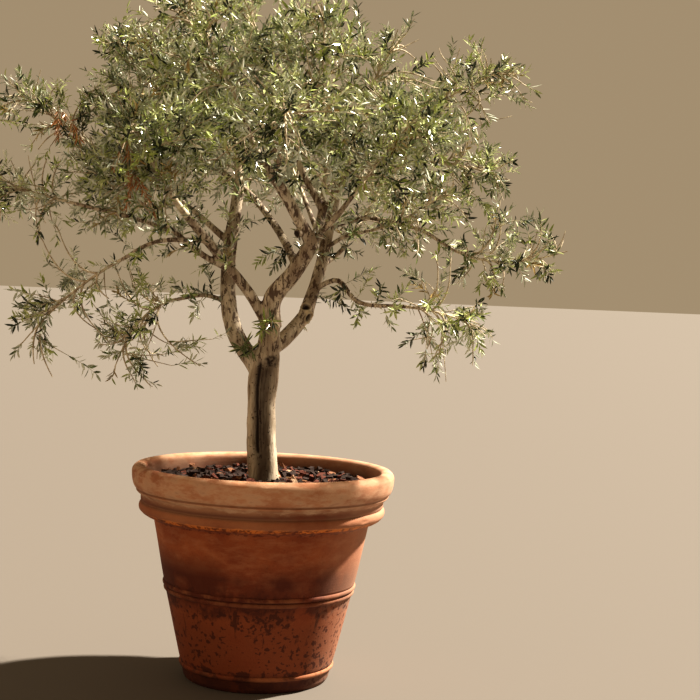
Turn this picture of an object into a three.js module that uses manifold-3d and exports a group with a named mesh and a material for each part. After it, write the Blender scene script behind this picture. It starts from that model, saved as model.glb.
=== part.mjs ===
// An olive tree in a large terracotta pot, in millimetres, +Z up.
// The origin is the middle of the pot's flat underside, +X is to the right and -Y is towards the viewer.
// The pot, its soil, the trunk, each bough and each mass of foliage is one solid.
// Every limb and mass is grown by the same few functions from the sizes in the tables below.

import * as THREE from "three";
import { mergeVertices } from "three/addons/utils/BufferGeometryUtils.js";
import Module from "manifold-3d";

const wasm = await Module();
wasm.setup();

const { lerp, smoothstep, degToRad } = THREE.MathUtils;

// Pot

const POT_HEIGHT = 857;
const RIM = { radius: 525, lip: 56, rounding: 22, foot: 753, chamfer: 14 };
const GROOVE = { radius: 484, height: 733 };
const SHOULDER = { radius: 492, height: 700, rounding: 20, foot: 641, cove: 24 };
const BODY_TOP_RADIUS = 438;
const BODY_SWELL = 6;
const MIDDLE_BEADS = { height: 374, apart: 21 };
const FOOT_BEAD = { height: 60 };
const BEAD = { stands: 7, half: 9 };
const FOOT_RADIUS = 292;
const FOOT_ROUNDING = 10;
const WALL = 38;
const FLOOR_THICKNESS = 45;
const MOUTH_FOOT = 701;
const POT_SIDES = 40;

// Soil

const SOIL_LEVEL = 800;
const SOIL_EDGE_LEVEL = 792;
const SOIL_RINGS = [380, 300, 225, 155, 92];
const SOIL_LUMP = { height: 9, across: 140 };
const CLEARANCE = 0.3;

// Trunk, as heights above the soil with the offset of its middle and its radius there

const TRUNK = [
  { height: 0, x: 0, y: 0, radius: 68 },
  { height: 60, x: -5, y: 0, radius: 63 },
  { height: 150, x: -14, y: 0, radius: 60 },
  { height: 320, x: -20, y: 0, radius: 56 },
  { height: 420, x: -16, y: -1, radius: 62 },
  { height: 480, x: -9, y: -4, radius: 56 },
  { height: 550, x: -1, y: -10, radius: 44 },
  { height: 625, x: 5, y: -20, radius: 40 },
];
const TRUNK_RINGS = 14;
const TRUNK_SIDES = 18;
const ROOT_FLARE = { reach: 15, height: 60, toes: 5 };
const FURROW = { bearing: 260, half: 20, depth: 17, foot: 110, head: 500, fade: 60 };

// Limbs and foliage

const COLLAR = { swell: 0.18, share: 0.2 };
const LIMB_SIDES = { stout: 10, slim: 6 };
const STOUT_RADIUS = 18;
const RING_SPACING = 120;
const STATION_SPACING = 15;
const LEAF = { length: 240, shortest: 90, width: 0.33, thickness: 0.045, widest: 0.42, opening: 45 };
const LEAF_SIZES = [1, 0.82, 0.66];
const LEAVES_ON_TWIG = [0.72];
const LEAVES_ON_STEM = [0.42, 0.8];
const LEAF_ROOT = 0.97;
const TWIG = { count: 5, radius: 6, tip: 3.5, first: 0.14, last: 0.9, widest: 82, narrowest: 38 };
const TWIG_SIDES = 3;
const TWIG_LEAD = 0.45;
const TWIG_TESTS = [0.2, 0.4, 0.6, 0.8, 1];
const STEM_SIDES = 4;
const STEM_FIT = 0.94;
const TIP_SHARE = 0.7;
const GOLDEN_ANGLE = 137.508;
const CELL_MARGIN = 1.5;
const LIMB_MARGIN = 10;
const FIRST_SEED = 101;

const FAR_BRANCH_LEGS = [[332, 13, 170], [0, -9, 225], [0, -28, 145]];
const LOW_BRANCH_LEGS = [[318, 26, 90], [312, 4, 60], [313, -35, 140], [337, -3, 200]];

// Each limb leaves its parent at a share of the parent's length. Its radii are those of its foot and tip.
// Its legs are a heading in degrees round from +X, a rise in degrees above the horizontal, and a length.
const LIMBS = [
  limbOf("bough_left", "trunk", 0.67, [37, 24], [167, 55, 230], [119, 74, 250], [74, 73, 330]),
  limbOf("bough_centre", "trunk", 1, [39, 30], [275, 77, 110], [329, 50, 150], [336, 58, 135]),
  limbOf("bough_right", "trunk", 0.84, [33, 28], [33, 32, 90], [33, 45, 145]),
  limbOf("bough_left_front", "trunk", 0.98, [23, 16], [199, 56, 180], [211, 45, 135], [216, 43, 275]),
  limbOf("bough_right_upper", "bough_right", 1, [27, 19], [49, 67, 205], [63, 68, 300], [63, 75, 90]),
  limbOf("bough_crown", "bough_centre", 1, [25, 19], [210, 54, 240], [194, 53, 140]),
  limbOf("bough_crown_top", "bough_crown", 1, [17, 12], [9, 50, 190], [0, 62, 90]),
  limbOf("bough_crown_left", "bough_crown", 0.97, [13, 9], [150, 55, 100], [175, 68, 100]),
  limbOf("bough_centre_back", "bough_centre", 0.97, [22, 15], [62, 48, 110], [78, 62, 130]),
  limbOf("bough_top", "bough_centre_back", 0.8, [14, 9], [165, 60, 200], [150, 72, 290]),
  limbOf("bough_back_left", "bough_centre", 0.72, [17, 10], [115, 37, 260], [128, 36, 275], [145, 30, 270]),
  limbOf("bough_back", "bough_right_upper", 0.5, [13, 9], [105, 32, 140], [112, 44, 220]),
  limbOf("bough_front", "bough_crown", 0.62, [13, 9], [255, 34, 100], [268, 48, 100]),
  limbOf("branch_left_middle", "bough_left_front", 0.5, [13, 9], [206, 24, 140], [186, 38, 190]),
  limbOf("branch_left_low", "bough_left", 0.42, [10, 7], [190, 15, 100], [200, -10, 120]),
  limbOf("branch_left_droop", "bough_left_front", 0.78, [10, 7], [190, -5, 200], [178, -30, 150]),
  limbOf("branch_left_high", "bough_left", 0.73, [13, 8], [172, 38, 250], [184, 30, 390]),
  limbOf("branch_left_crest", "branch_left_high", 0.45, [9, 7], [158, 58, 90], [176, 72, 160]),
  limbOf("branch_left_far", "branch_left_middle", 0.8, [9, 7], [170, 18, 150], [172, 12, 280]),
  limbOf("branch_right_front", "bough_centre_back", 0.2, [13, 9], [320, 38, 120], [336, 52, 120]),
  limbOf("branch_right_crest", "bough_centre_back", 0.7, [11, 8], [345, 60, 160], [328, 74, 260]),
  limbOf("branch_right_top", "bough_right_upper", 1, [12, 9], [36, 38, 105], [25, 11, 100]),
  limbOf("branch_right_high", "branch_right_top", 0.5, [8, 6], [324, 28, 180], [338, 40, 250]),
  limbOf("branch_right_side", "branch_right_top", 0.75, [8, 6], [338, 14, 95], [345, 2, 190]),
  limbOf("branch_right_back", "bough_right_upper", 0.36, [10, 8], [52, 28, 170], [60, 38, 190]),
  limbOf("branch_right_mid", "bough_right_upper", 0.5, [9, 7], [330, 30, 110], [338, 14, 110]),
  limbOf("branch_right_far", "bough_right_upper", 0.67, [11, 7], ...FAR_BRANCH_LEGS),
  limbOf("branch_right_low", "bough_right_upper", 0.18, [11, 7], ...LOW_BRANCH_LEGS),
];

// Each mass keeps to its own space, an ellipsoid round its middle that planes part from its neighbours,
// and grows on from the tip of the limb that carries it.
const MASSES = [
  massOf("foliage_left_inner", "bough_left", [-215, 260, 2190], [260, 260, 240]),
  massOf("foliage_left_front", "bough_left_front", [-440, -400, 2040], [270, 270, 230]),
  massOf("foliage_left", "branch_left_middle", [-610, -50, 1960], [240, 230, 200]),
  massOf("foliage_left_arm_high", "branch_left_high", [-890, 60, 2230], [290, 190, 150]),
  massOf("foliage_left_crest", "branch_left_crest", [-560, 90, 2370], [240, 270, 260]),
  massOf("foliage_left_arm_low", "branch_left_far", [-910, -20, 1910], [260, 200, 150]),
  massOf("foliage_left_droop", "branch_left_droop", [-790, -170, 1480], [200, 190, 290]),
  massOf("foliage_left_low", "branch_left_low", [-450, -20, 1430], [260, 220, 240]),
  massOf("foliage_crown_left", "bough_crown_left", [-290, -260, 2460], [280, 270, 260]),
  massOf("foliage_crown_right", "bough_crown_top", [130, -210, 2460], [230, 260, 225]),
  massOf("foliage_centre", "bough_centre_back", [190, 60, 2190], [240, 240, 230]),
  massOf("foliage_top", "bough_top", [-100, 90, 2570], [290, 290, 270]),
  massOf("foliage_back_left", "bough_back_left", [-400, 560, 2190], [280, 280, 270]),
  massOf("foliage_back", "bough_back", [30, 650, 2190], [280, 270, 260]),
  massOf("foliage_front", "bough_front", [20, -570, 2140], [280, 280, 250]),
  massOf("foliage_right_front", "branch_right_front", [420, -360, 2110], [260, 270, 240]),
  massOf("foliage_right", "branch_right_top", [560, 330, 2250], [240, 240, 220]),
  massOf("foliage_right_crest", "branch_right_crest", [410, -30, 2450], [220, 240, 190]),
  massOf("foliage_right_back", "branch_right_back", [460, 570, 2030], [260, 260, 240]),
  massOf("foliage_right_mid", "branch_right_mid", [560, -10, 1930], [210, 230, 170]),
  massOf("foliage_right_far", "branch_right_far", [950, 110, 1780], [270, 170, 160]),
  massOf("foliage_right_high", "branch_right_high", [780, 90, 2420], [230, 200, 160]),
  massOf("foliage_right_side", "branch_right_side", [780, 240, 2110], [210, 210, 170]),
  massOf("foliage_right_low", "branch_right_low", [650, -170, 1500], [200, 190, 210]),
];

function limbOf(name, parent, at, radii, ...legs) {
  return { name, parent, at, radii, legs };
}

function massOf(name, carrier, middle, half) {
  return { name, carrier, middle: new THREE.Vector3(...middle), half: new THREE.Vector3(...half) };
}

// Random numbers that come out the same each time for a seed.
function seeded(seed) {
  let state = seed >>> 0;
  return () => {
    state = (Math.imul(state, 1664525) + 1013904223) >>> 0;
    return state / 4294967296;
  };
}

function toSolid(geometry) {
  const bare = geometry.clone();
  bare.deleteAttribute("normal");
  bare.deleteAttribute("uv");
  const merged = mergeVertices(bare, 1e-3);
  return new wasm.Manifold(
    new wasm.Mesh({
      numProp: 3,
      vertProperties: new Float32Array(merged.attributes.position.array),
      triVerts: new Uint32Array(merged.index.array),
    }),
  );
}

function toGeometry(solid) {
  const mesh = solid.getMesh();
  const geometry = new THREE.BufferGeometry();
  geometry.setAttribute("position", new THREE.BufferAttribute(mesh.vertProperties, 3));
  geometry.setIndex(new THREE.BufferAttribute(mesh.triVerts, 1));
  geometry.computeVertexNormals();
  return geometry;
}

// The main body of a solid, without any scrap that a cut has freed.
function largest(solid) {
  return solid.decompose().reduce((a, b) => (a.volume() > b.volume() ? a : b));
}

function towards(headingDegrees, riseDegrees) {
  const turn = degToRad(headingDegrees);
  const rise = degToRad(riseDegrees);
  const level = Math.cos(rise);
  return new THREE.Vector3(level * Math.cos(turn), level * Math.sin(turn), Math.sin(rise));
}

// Points round part of an ellipse in the pot's profile, where x is the radius and y the height.
function arc(x, y, radiusX, radiusY, fromDegrees, toDegrees, steps) {
  return Array.from({ length: steps + 1 }, (_, i) => {
    const a = degToRad(lerp(fromDegrees, toDegrees, i / steps));
    return new THREE.Vector2(x + radiusX * Math.cos(a), y + radiusY * Math.sin(a));
  });
}

// The body widens from its foot to the shoulder with a slight swell.
function bodyRadius(height) {
  const share = height / SHOULDER.foot;
  return lerp(FOOT_RADIUS, BODY_TOP_RADIUS, share) + BODY_SWELL * Math.sin(Math.PI * share);
}

function bead(height) {
  return arc(bodyRadius(height), height, BEAD.stands, BEAD.half, -90, 90, 3);
}

function lathe(points, sides) {
  return new THREE.LatheGeometry(points, sides).rotateX(Math.PI / 2);
}

// The hollow from the floor up to a height, drawn in by an allowance.
function hollow(top, allowance = 0) {
  const mouth = RIM.radius - RIM.lip - allowance;
  return [
    new THREE.Vector2(0, FLOOR_THICKNESS + allowance),
    new THREE.Vector2(bodyRadius(FLOOR_THICKNESS) - WALL - allowance, FLOOR_THICKNESS + allowance),
    new THREE.Vector2(bodyRadius(SHOULDER.foot) - WALL - allowance, SHOULDER.foot),
    new THREE.Vector2(mouth - WALL / 2, MOUTH_FOOT),
    new THREE.Vector2(lerp(mouth - WALL / 2, mouth, smoothstep(top, MOUTH_FOOT, POT_HEIGHT)), top),
  ];
}

function pot() {
  const shoulder = SHOULDER.radius - SHOULDER.rounding;
  const lipMiddle = RIM.radius - RIM.lip / 2;
  const outside = [
    new THREE.Vector2(0, 0),
    new THREE.Vector2(FOOT_RADIUS - FOOT_ROUNDING, 0),
    new THREE.Vector2(FOOT_RADIUS, FOOT_ROUNDING),
    ...bead(FOOT_BEAD.height),
    ...bead(MIDDLE_BEADS.height - MIDDLE_BEADS.apart / 2),
    ...bead(MIDDLE_BEADS.height + MIDDLE_BEADS.apart / 2),
    new THREE.Vector2(BODY_TOP_RADIUS, SHOULDER.foot),
    new THREE.Vector2(lerp(BODY_TOP_RADIUS, shoulder, 0.9), SHOULDER.foot + SHOULDER.cove),
    ...arc(shoulder, SHOULDER.height, SHOULDER.rounding, 18, -60, 80, 3),
    new THREE.Vector2(GROOVE.radius, GROOVE.height),
    new THREE.Vector2(RIM.radius - RIM.chamfer, RIM.foot),
    new THREE.Vector2(RIM.radius - 2, RIM.foot + 2 * RIM.chamfer),
    ...arc(lipMiddle, POT_HEIGHT - RIM.rounding, RIM.lip / 2, RIM.rounding, 0, 180, 5),
  ];
  const inside = hollow(POT_HEIGHT - 2 * RIM.rounding).reverse();
  return toSolid(lathe([...outside, ...inside], POT_SIDES));
}

// Soil fills the pot to below its rim. Its top is level under the trunk, with low lumps round it.
function soil() {
  const side = hollow(SOIL_EDGE_LEVEL, CLEARANCE);
  const edge = side.at(-1).x;
  const seat = SOIL_RINGS.at(-1);
  const domed = (radius) => SOIL_LEVEL - (SOIL_LEVEL - SOIL_EDGE_LEVEL) * (radius / edge) ** 2;
  const top = SOIL_RINGS.map((r) => new THREE.Vector2(r, r === seat ? SOIL_LEVEL : domed(r)));
  const profile = [...side, ...top, new THREE.Vector2(0, SOIL_LEVEL)];
  const geometry = lathe(profile, POT_SIDES / 2);
  const position = geometry.attributes.position;
  for (let i = 0; i < position.count; i += 1) {
    const x = position.getX(i) / SOIL_LUMP.across;
    const y = position.getY(i) / SOIL_LUMP.across;
    const radius = Math.hypot(position.getX(i), position.getY(i));
    const onTop = position.getZ(i) > SOIL_EDGE_LEVEL && radius > seat + 1 && radius < edge - 1;
    if (!onTop) continue;
    const lump = Math.sin(6 * x + 1) * Math.cos(7 * y) + 0.6 * Math.sin(15 * (x + y));
    position.setZ(i, position.getZ(i) + SOIL_LUMP.height * lump);
  }
  return toSolid(geometry);
}

// Axes across a curve at each ring. Level rings lie flat, whichever way the curve leans.
function ringAxes(curve, rings, level) {
  if (!level) return curve.computeFrenetFrames(rings, false);
  const all = (x, y, z) => Array.from({ length: rings + 1 }, () => new THREE.Vector3(x, y, z));
  return { normals: all(1, 0, 0), binormals: all(0, 1, 0), tangents: all(0, 0, 1) };
}

// A cylinder whose rings are carried along a curve. radiusAt takes the share of the way and the bearing.
function tube(curve, radiusAt, sides, rings, grow = 0, level = false) {
  const geometry = new THREE.CylinderGeometry(1, 1, 1, sides, rings);
  const axes = ringAxes(curve, rings, level);
  const position = geometry.attributes.position;
  for (let i = 0; i < position.count; i += 1) {
    const ring = Math.round((position.getY(i) + 0.5) * rings);
    const share = ring / rings;
    const across = new THREE.Vector3()
      .addScaledVector(axes.normals[ring], position.getZ(i))
      .addScaledVector(axes.binormals[ring], position.getX(i));
    const bearing = Math.atan2(across.y, across.x);
    const past = ring === 0 ? -grow : ring === rings ? grow : 0;
    const point = curve
      .getPointAt(share)
      .addScaledVector(axes.tangents[ring], past)
      .addScaledVector(across, radiusAt(share, bearing) + grow);
    position.setXYZ(i, point.x, point.y, point.z);
  }
  return toSolid(geometry);
}

// The trunk swells at its foot into low toes, and a deep furrow runs up the side that faces the viewer.
function trunkRadius(height, bearing) {
  const next = Math.max(1, TRUNK.findIndex((station) => station.height >= height));
  const above = TRUNK[next];
  const below = TRUNK[next - 1];
  const round = lerp(below.radius, above.radius, smoothstep(height, below.height, above.height));
  const nearGround = Math.max(0, 1 - height / ROOT_FLARE.height) ** 2;
  const toes = ROOT_FLARE.reach * nearGround * (0.5 + 0.5 * Math.cos(ROOT_FLARE.toes * bearing));
  const off = bearing - degToRad(FURROW.bearing);
  const offTurn = Math.abs(Math.atan2(Math.sin(off), Math.cos(off)));
  const narrow = Math.max(0, 1 - offTurn / degToRad(FURROW.half));
  const opens = smoothstep(height, FURROW.foot, FURROW.foot + FURROW.fade);
  const closes = 1 - smoothstep(height, FURROW.head - FURROW.fade, FURROW.head);
  return round + toes - FURROW.depth * narrow * opens * closes;
}

function trunk(grow = 0) {
  const ground = SOIL_LEVEL + CLEARANCE;
  const curve = new THREE.CatmullRomCurve3(
    TRUNK.map((station) => new THREE.Vector3(station.x, station.y, ground + station.height)),
  );
  const top = TRUNK.at(-1);
  const radiusAt = (share, bearing) => trunkRadius(share * top.height, bearing);
  const solid = tube(curve, radiusAt, TRUNK_SIDES, TRUNK_RINGS, grow, true);
  return { curve, radii: [TRUNK[1].radius, top.radius], solid };
}

function limbCurve(limb, start) {
  const joints = [start];
  for (const [heading, rise, length] of limb.legs) {
    joints.push(joints.at(-1).clone().addScaledVector(towards(heading, rise), length));
  }
  return new THREE.CatmullRomCurve3(joints);
}

function limbRadius(radii, share) {
  const collar = COLLAR.swell * radii[0] * Math.max(0, 1 - share / COLLAR.share) ** 2;
  return lerp(radii[0], radii[1], share) + collar;
}

function limbTube(curve, radii, grow = 0) {
  const sides = radii[0] > STOUT_RADIUS ? LIMB_SIDES.stout : LIMB_SIDES.slim;
  const rings = Math.max(3, Math.ceil(curve.getLength() / RING_SPACING));
  return tube(curve, (share) => limbRadius(radii, share), sides, rings, grow);
}

// Limbs in the order of the table, each cut clear of every limb that was there before it.
function growLimbs() {
  const grown = new Map([["trunk", { ...trunk(), fat: trunk(CLEARANCE).solid }]]);
  for (const limb of LIMBS) {
    const curve = limbCurve(limb, grown.get(limb.parent).curve.getPointAt(limb.at));
    const whole = limbTube(curve, limb.radii);
    const cut = [...grown.values()].reduce((left, other) => left.subtract(other.fat), whole);
    const fat = limbTube(curve, limb.radii, CLEARANCE);
    grown.set(limb.name, { curve, radii: limb.radii, solid: largest(cut), fat });
  }
  for (const limb of grown.values()) {
    limb.stations = limb.curve.getSpacedPoints(Math.ceil(limb.curve.getLength() / STATION_SPACING));
  }
  return grown;
}

// How far a mass's ellipsoid reaches from its middle in a direction.
function halfTowards(mass, direction) {
  return 1 / direction.clone().divide(mass.half).length();
}

// The planes that part a mass from all the others, each as an outward normal and its distance.
function partings(mass) {
  return MASSES.filter((other) => other !== mass).map((other) => {
    const normal = other.middle.clone().sub(mass.middle);
    const apart = normal.length();
    normal.normalize();
    const mine = halfTowards(mass, normal);
    const share = mine / (mine + halfTowards(other, normal));
    return { normal, distance: mass.middle.dot(normal) + apart * share - CELL_MARGIN };
  });
}

function inSpace(mass, point, margin = 0) {
  const inEllipsoid = point.clone().sub(mass.middle).divide(mass.half).length() <= 1;
  return inEllipsoid && mass.partings.every((p) => point.dot(p.normal) <= p.distance - margin);
}

// How far a mass's space reaches from a point inside it, in a direction.
function reach(mass, from, direction) {
  const p = from.clone().sub(mass.middle).divide(mass.half);
  const d = direction.clone().divide(mass.half);
  const a = d.dot(d);
  const b = p.dot(d);
  const c = p.dot(p) - 1;
  const toShell = (-b + Math.sqrt(Math.max(0, b * b - a * c))) / a;
  return mass.partings.reduce((least, plane) => {
    const closing = direction.dot(plane.normal);
    if (closing < 1e-6) return least;
    return Math.min(least, Math.max(0, (plane.distance - from.dot(plane.normal)) / closing));
  }, toShell);
}

// A twig that sets off along one direction and ends up at a point.
function bend(from, along, to) {
  const turn = from.clone().addScaledVector(along, TWIG_LEAD * from.distanceTo(to));
  return new THREE.QuadraticBezierCurve3(from, turn, to);
}

// The direction that opens from an axis by an angle in degrees, at a bearing round it.
function opened(axis, opening, bearing) {
  const across = new THREE.Vector3(0, 0, 1).cross(axis);
  if (across.lengthSq() < 1e-3) across.set(1, 0, 0);
  across.normalize().applyAxisAngle(axis, bearing);
  const angle = degToRad(opening);
  return axis.clone().multiplyScalar(Math.cos(angle)).addScaledVector(across, Math.sin(angle));
}

function touchesLimb(point, limbs) {
  for (const limb of limbs.values()) {
    const last = limb.stations.length - 1;
    for (let i = 0; i <= last; i += 1) {
      const keep = limbRadius(limb.radii, i / last) + LIMB_MARGIN;
      if (point.distanceToSquared(limb.stations[i]) < keep * keep) return true;
    }
  }
  return false;
}

// A keeled leaf of six faces, with its root at the start and its tip along the direction.
function leafAt(root, direction, bearing, length) {
  const side = opened(direction, 90, bearing);
  const face = new THREE.Vector3().crossVectors(direction, side);
  const geometry = new THREE.SphereGeometry(1, 3, 2);
  const position = geometry.attributes.position;
  for (let i = 0; i < position.count; i += 1) {
    const pole = position.getY(i);
    const along = Math.abs(pole) < 0.1 ? LEAF.widest : 0.5 + 0.5 * pole;
    const point = root
      .clone()
      .addScaledVector(direction, along * length)
      .addScaledVector(side, (position.getZ(i) / Math.sqrt(3)) * LEAF.width * length)
      .addScaledVector(face, (position.getX(i) / 1.5) * LEAF.thickness * length);
    position.setXYZ(i, point.x, point.y, point.z);
  }
  return geometry;
}

// The leaf as a solid, or nothing where it would leave the mass's space or touch a limb.
function fittingLeaf(mass, geometry, limbs) {
  const position = geometry.attributes.position;
  for (let i = 0; i < position.count; i += 1) {
    if (!inSpace(mass, new THREE.Vector3().fromBufferAttribute(position, i))) return null;
  }
  const leaf = toSolid(geometry);
  return [...limbs.values()].every((limb) => leaf.intersect(limb.fat).isEmpty()) ? leaf : null;
}

// The stem runs on from the limb's tip, through the middle of the space to its far edge.
function stemOf(mass, carrier) {
  const along = carrier.curve.getTangentAt(1);
  const foot = carrier.curve.getPointAt(1).addScaledVector(along, CLEARANCE);
  const onward = mass.middle.clone().sub(foot).normalize();
  const edge = mass.middle.clone().addScaledVector(onward, reach(mass, mass.middle, onward));
  return bend(foot, along, edge);
}

// Twigs leave the stem at the golden angle and run out to the edge of the space.
function twigsOf(mass, stem, limbs, random) {
  const turn = random() * 360;
  const twigs = [];
  for (let i = 0; i < TWIG.count; i += 1) {
    const along = (i + 0.5) / TWIG.count;
    const share = lerp(TWIG.first, TWIG.last, along);
    const from = stem.getPoint(share);
    if (!inSpace(mass, from, TWIG.radius)) continue;
    const axis = stem.getTangent(share);
    const opening = lerp(TWIG.widest, TWIG.narrowest, along);
    const bearing = degToRad(turn + GOLDEN_ANGLE * i);
    const way = opened(axis, opening, bearing);
    const edge = from.clone().addScaledVector(way, reach(mass, from, way));
    const twig = bend(from, opened(axis, 0.4 * opening, bearing), edge);
    const clear = TWIG_TESTS.every((s) => !touchesLimb(twig.getPoint(s), limbs));
    if (clear && from.distanceTo(edge) > LEAF.shortest) twigs.push(twig);
  }
  return twigs;
}

// The first part of a stem or twig, short of the leaf that makes its tip.
function woodPart(curve) {
  const share = 1 - Math.min(TIP_SHARE, LEAF.length / curve.getLength());
  const turn = curve.v0.clone().lerp(curve.v1, share);
  return new THREE.QuadraticBezierCurve3(curve.v0, turn, curve.getPoint(share));
}

// One mass: a stem and its twigs, each with a leaf at its tip and others along it, fused into one solid.
function growMass(mass, limbs, seed) {
  const random = seeded(seed);
  const carrier = limbs.get(mass.carrier);
  const stem = stemOf(mass, carrier);
  const twigs = twigsOf(mass, stem, limbs, random);
  const pieces = [];
  const addLeaf = (root, direction) => {
    const bearing = random() * 2 * Math.PI;
    if (!inSpace(mass, root)) return;
    const longest = Math.min(LEAF.length, 0.98 * reach(mass, root, direction));
    for (const length of LEAF_SIZES.map((size) => size * longest)) {
      const leaf = fittingLeaf(mass, leafAt(root, direction, bearing, length), limbs);
      if (leaf && length > LEAF.shortest) {
        pieces.push(leaf);
        return;
      }
    }
  };
  const addWood = (curve, footRadius, tipRadius, sides, leafPlaces) => {
    const wood = woodPart(curve);
    const rings = Math.ceil(wood.getLength() / RING_SPACING);
    pieces.push(tube(wood, (share) => lerp(footRadius, tipRadius, share), sides, rings));
    addLeaf(wood.getPoint(LEAF_ROOT), curve.v2.clone().sub(wood.v2).normalize());
    for (const place of leafPlaces) {
      const direction = opened(wood.getTangent(place), LEAF.opening, random() * 2 * Math.PI);
      addLeaf(wood.getPoint(place), direction);
    }
  };
  addWood(stem, STEM_FIT * carrier.radii[1], TWIG.radius, STEM_SIDES, LEAVES_ON_STEM);
  for (const twig of twigs) addWood(twig, TWIG.radius, TWIG.tip, TWIG_SIDES, LEAVES_ON_TWIG);
  return largest(pieces.reduce((whole, piece) => whole.add(piece)));
}

function named(name, solid, material) {
  const mesh = new THREE.Mesh(toGeometry(solid), material);
  mesh.name = name;
  return mesh;
}

const terracotta = new THREE.MeshStandardMaterial({ color: 0xb06a45, roughness: 0.88, metalness: 0 });
const earth = new THREE.MeshStandardMaterial({ color: 0x4a3023, roughness: 0.97, metalness: 0 });
const bark = new THREE.MeshStandardMaterial({ color: 0x9c8770, roughness: 0.85, metalness: 0 });
const leafage = new THREE.MeshStandardMaterial({ color: 0x75803f, roughness: 0.6, metalness: 0 });

for (const mass of MASSES) mass.partings = partings(mass);
const limbs = growLimbs();

const tree = new THREE.Group();
tree.name = "potted_olive_tree";
tree.add(named("pot", pot(), terracotta));
tree.add(named("soil", soil(), earth));
for (const [name, limb] of limbs) tree.add(named(name, limb.solid, bark));
for (const [i, mass] of MASSES.entries()) {
  tree.add(named(mass.name, growMass(mass, limbs, FIRST_SEED + i), leafage));
}

export default tree;
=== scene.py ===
# %% [markdown]
# # An olive tree in a terracotta pot
#
# This lesson dresses a plain CAD model of a potted olive tree. The CAD part gives the size and place
# of everything: the pot, the soil, each limb and each mass of foliage. Blender adds what the eye looks
# for in a real tree: rough bark, thousands of small leaves in sprays, weathered clay and loose mulch.
# The CAD model is loaded as a frame that never moves, and each new piece rides on its one body.

# %% Load the frame
import math

import bmesh
import bpy
import numpy as np
from mathutils import Matrix, Vector, noise


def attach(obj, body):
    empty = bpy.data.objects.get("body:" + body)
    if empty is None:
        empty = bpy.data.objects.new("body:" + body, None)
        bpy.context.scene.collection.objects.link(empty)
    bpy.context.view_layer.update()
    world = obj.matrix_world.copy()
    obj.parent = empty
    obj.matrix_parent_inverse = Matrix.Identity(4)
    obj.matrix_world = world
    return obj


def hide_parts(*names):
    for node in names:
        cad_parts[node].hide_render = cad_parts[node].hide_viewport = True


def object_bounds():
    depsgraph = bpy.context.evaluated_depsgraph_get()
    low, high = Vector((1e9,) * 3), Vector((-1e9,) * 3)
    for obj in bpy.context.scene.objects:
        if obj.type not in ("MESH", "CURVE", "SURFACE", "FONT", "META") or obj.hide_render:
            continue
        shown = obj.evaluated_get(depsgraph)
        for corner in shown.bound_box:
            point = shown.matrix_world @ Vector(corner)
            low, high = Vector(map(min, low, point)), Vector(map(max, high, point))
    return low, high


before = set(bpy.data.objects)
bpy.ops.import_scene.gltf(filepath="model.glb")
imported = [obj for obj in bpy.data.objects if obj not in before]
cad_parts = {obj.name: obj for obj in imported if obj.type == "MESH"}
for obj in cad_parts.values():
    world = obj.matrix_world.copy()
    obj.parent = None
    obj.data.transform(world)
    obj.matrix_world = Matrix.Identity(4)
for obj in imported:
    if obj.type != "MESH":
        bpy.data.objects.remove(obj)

BODY = "root"
MM = 0.001
cad_low, cad_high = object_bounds()
print("CAD box in metres:", [round(v, 3) for v in (*cad_low, *cad_high)])

# %% [markdown]
# ## The camera
#
# The camera stands where the picture was taken from: about six metres off and 1.6 m up. The picture is a
# little tilted, so the camera is rolled by the same angle and the tree itself stays plumb. A long lens
# keeps the verticals nearly parallel, as in the picture.

# %% Camera
EYE = (0.0, -6.07, 1.591)
TURNED_RIGHT, TIPPED_DOWN, ROLLED = 3.11, 2.35, 2.39
LENS_MM, SENSOR_MM = 77.14, 36.0


def turn(degrees, axis):
    return Matrix.Rotation(math.radians(degrees), 4, axis)


camera_data = bpy.data.cameras.new("camera")
camera_data.lens = LENS_MM
camera_data.sensor_width = SENSOR_MM
camera = bpy.data.objects.new("camera", camera_data)
bpy.context.scene.collection.objects.link(camera)
aim = turn(-TURNED_RIGHT, "Z") @ turn(90 - TIPPED_DOWN, "X") @ turn(ROLLED, "Z")
camera.matrix_world = Matrix.Translation(EYE) @ aim
bpy.context.scene.camera = camera
print("camera at", EYE, "with a", LENS_MM, "mm lens")

# %% [markdown]
# ## Materials: a few small helpers
#
# A finish is a tree of nodes. `add` makes one node, gives it its settings, fills each input with a value
# or with the output that feeds it, and hands back one of its outputs. `finish` starts a material from
# its shader, and `coat` gives that shader its colour and its relief. Colours are written as sRGB hex, as
# a paint chart has them, and `shade` turns them into the linear numbers that the renderer works with.
# An input goes by its label, or by its place where labels are alike: a map range reads from 1 to 2 and
# gives 3 to 4, and a mix of colours takes its share as 0 and the two colours as 6 and 7.

# %% Helpers for materials


def shade(hex_colour):
    parts = [int(hex_colour[i : i + 2], 16) / 255 for i in (1, 3, 5)]
    return (*[p / 12.92 if p <= 0.04045 else ((p + 0.055) / 1.055) ** 2.4 for p in parts], 1.0)


def add(tree, kind, inputs, output=0, **settings):
    made = tree.nodes.new(kind)
    for name, value in settings.items():
        setattr(made, name, value)
    for key, value in inputs.items():
        if isinstance(value, bpy.types.NodeSocket):
            tree.links.new(value, made.inputs[key])
        else:
            made.inputs[key].default_value = value
    return made.outputs[output]


def finish(name, roughness):
    """A material with its node tree, its shader and the place of each point in metres."""
    material = bpy.data.materials.new(name)
    material.use_nodes = True
    tree = material.node_tree
    shader = tree.nodes["Principled BSDF"]
    shader.inputs["Roughness"].default_value = roughness
    return material, tree, shader, add(tree, "ShaderNodeTexCoord", {}, "Object")


def coat(tree, shader, tone, relief, strength, depth):
    bump = add(tree, "ShaderNodeBump", {"Strength": strength, "Distance": depth, "Height": relief})
    tree.links.new(tone, shader.inputs["Base Color"])
    tree.links.new(bump, shader.inputs["Normal"])


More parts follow.
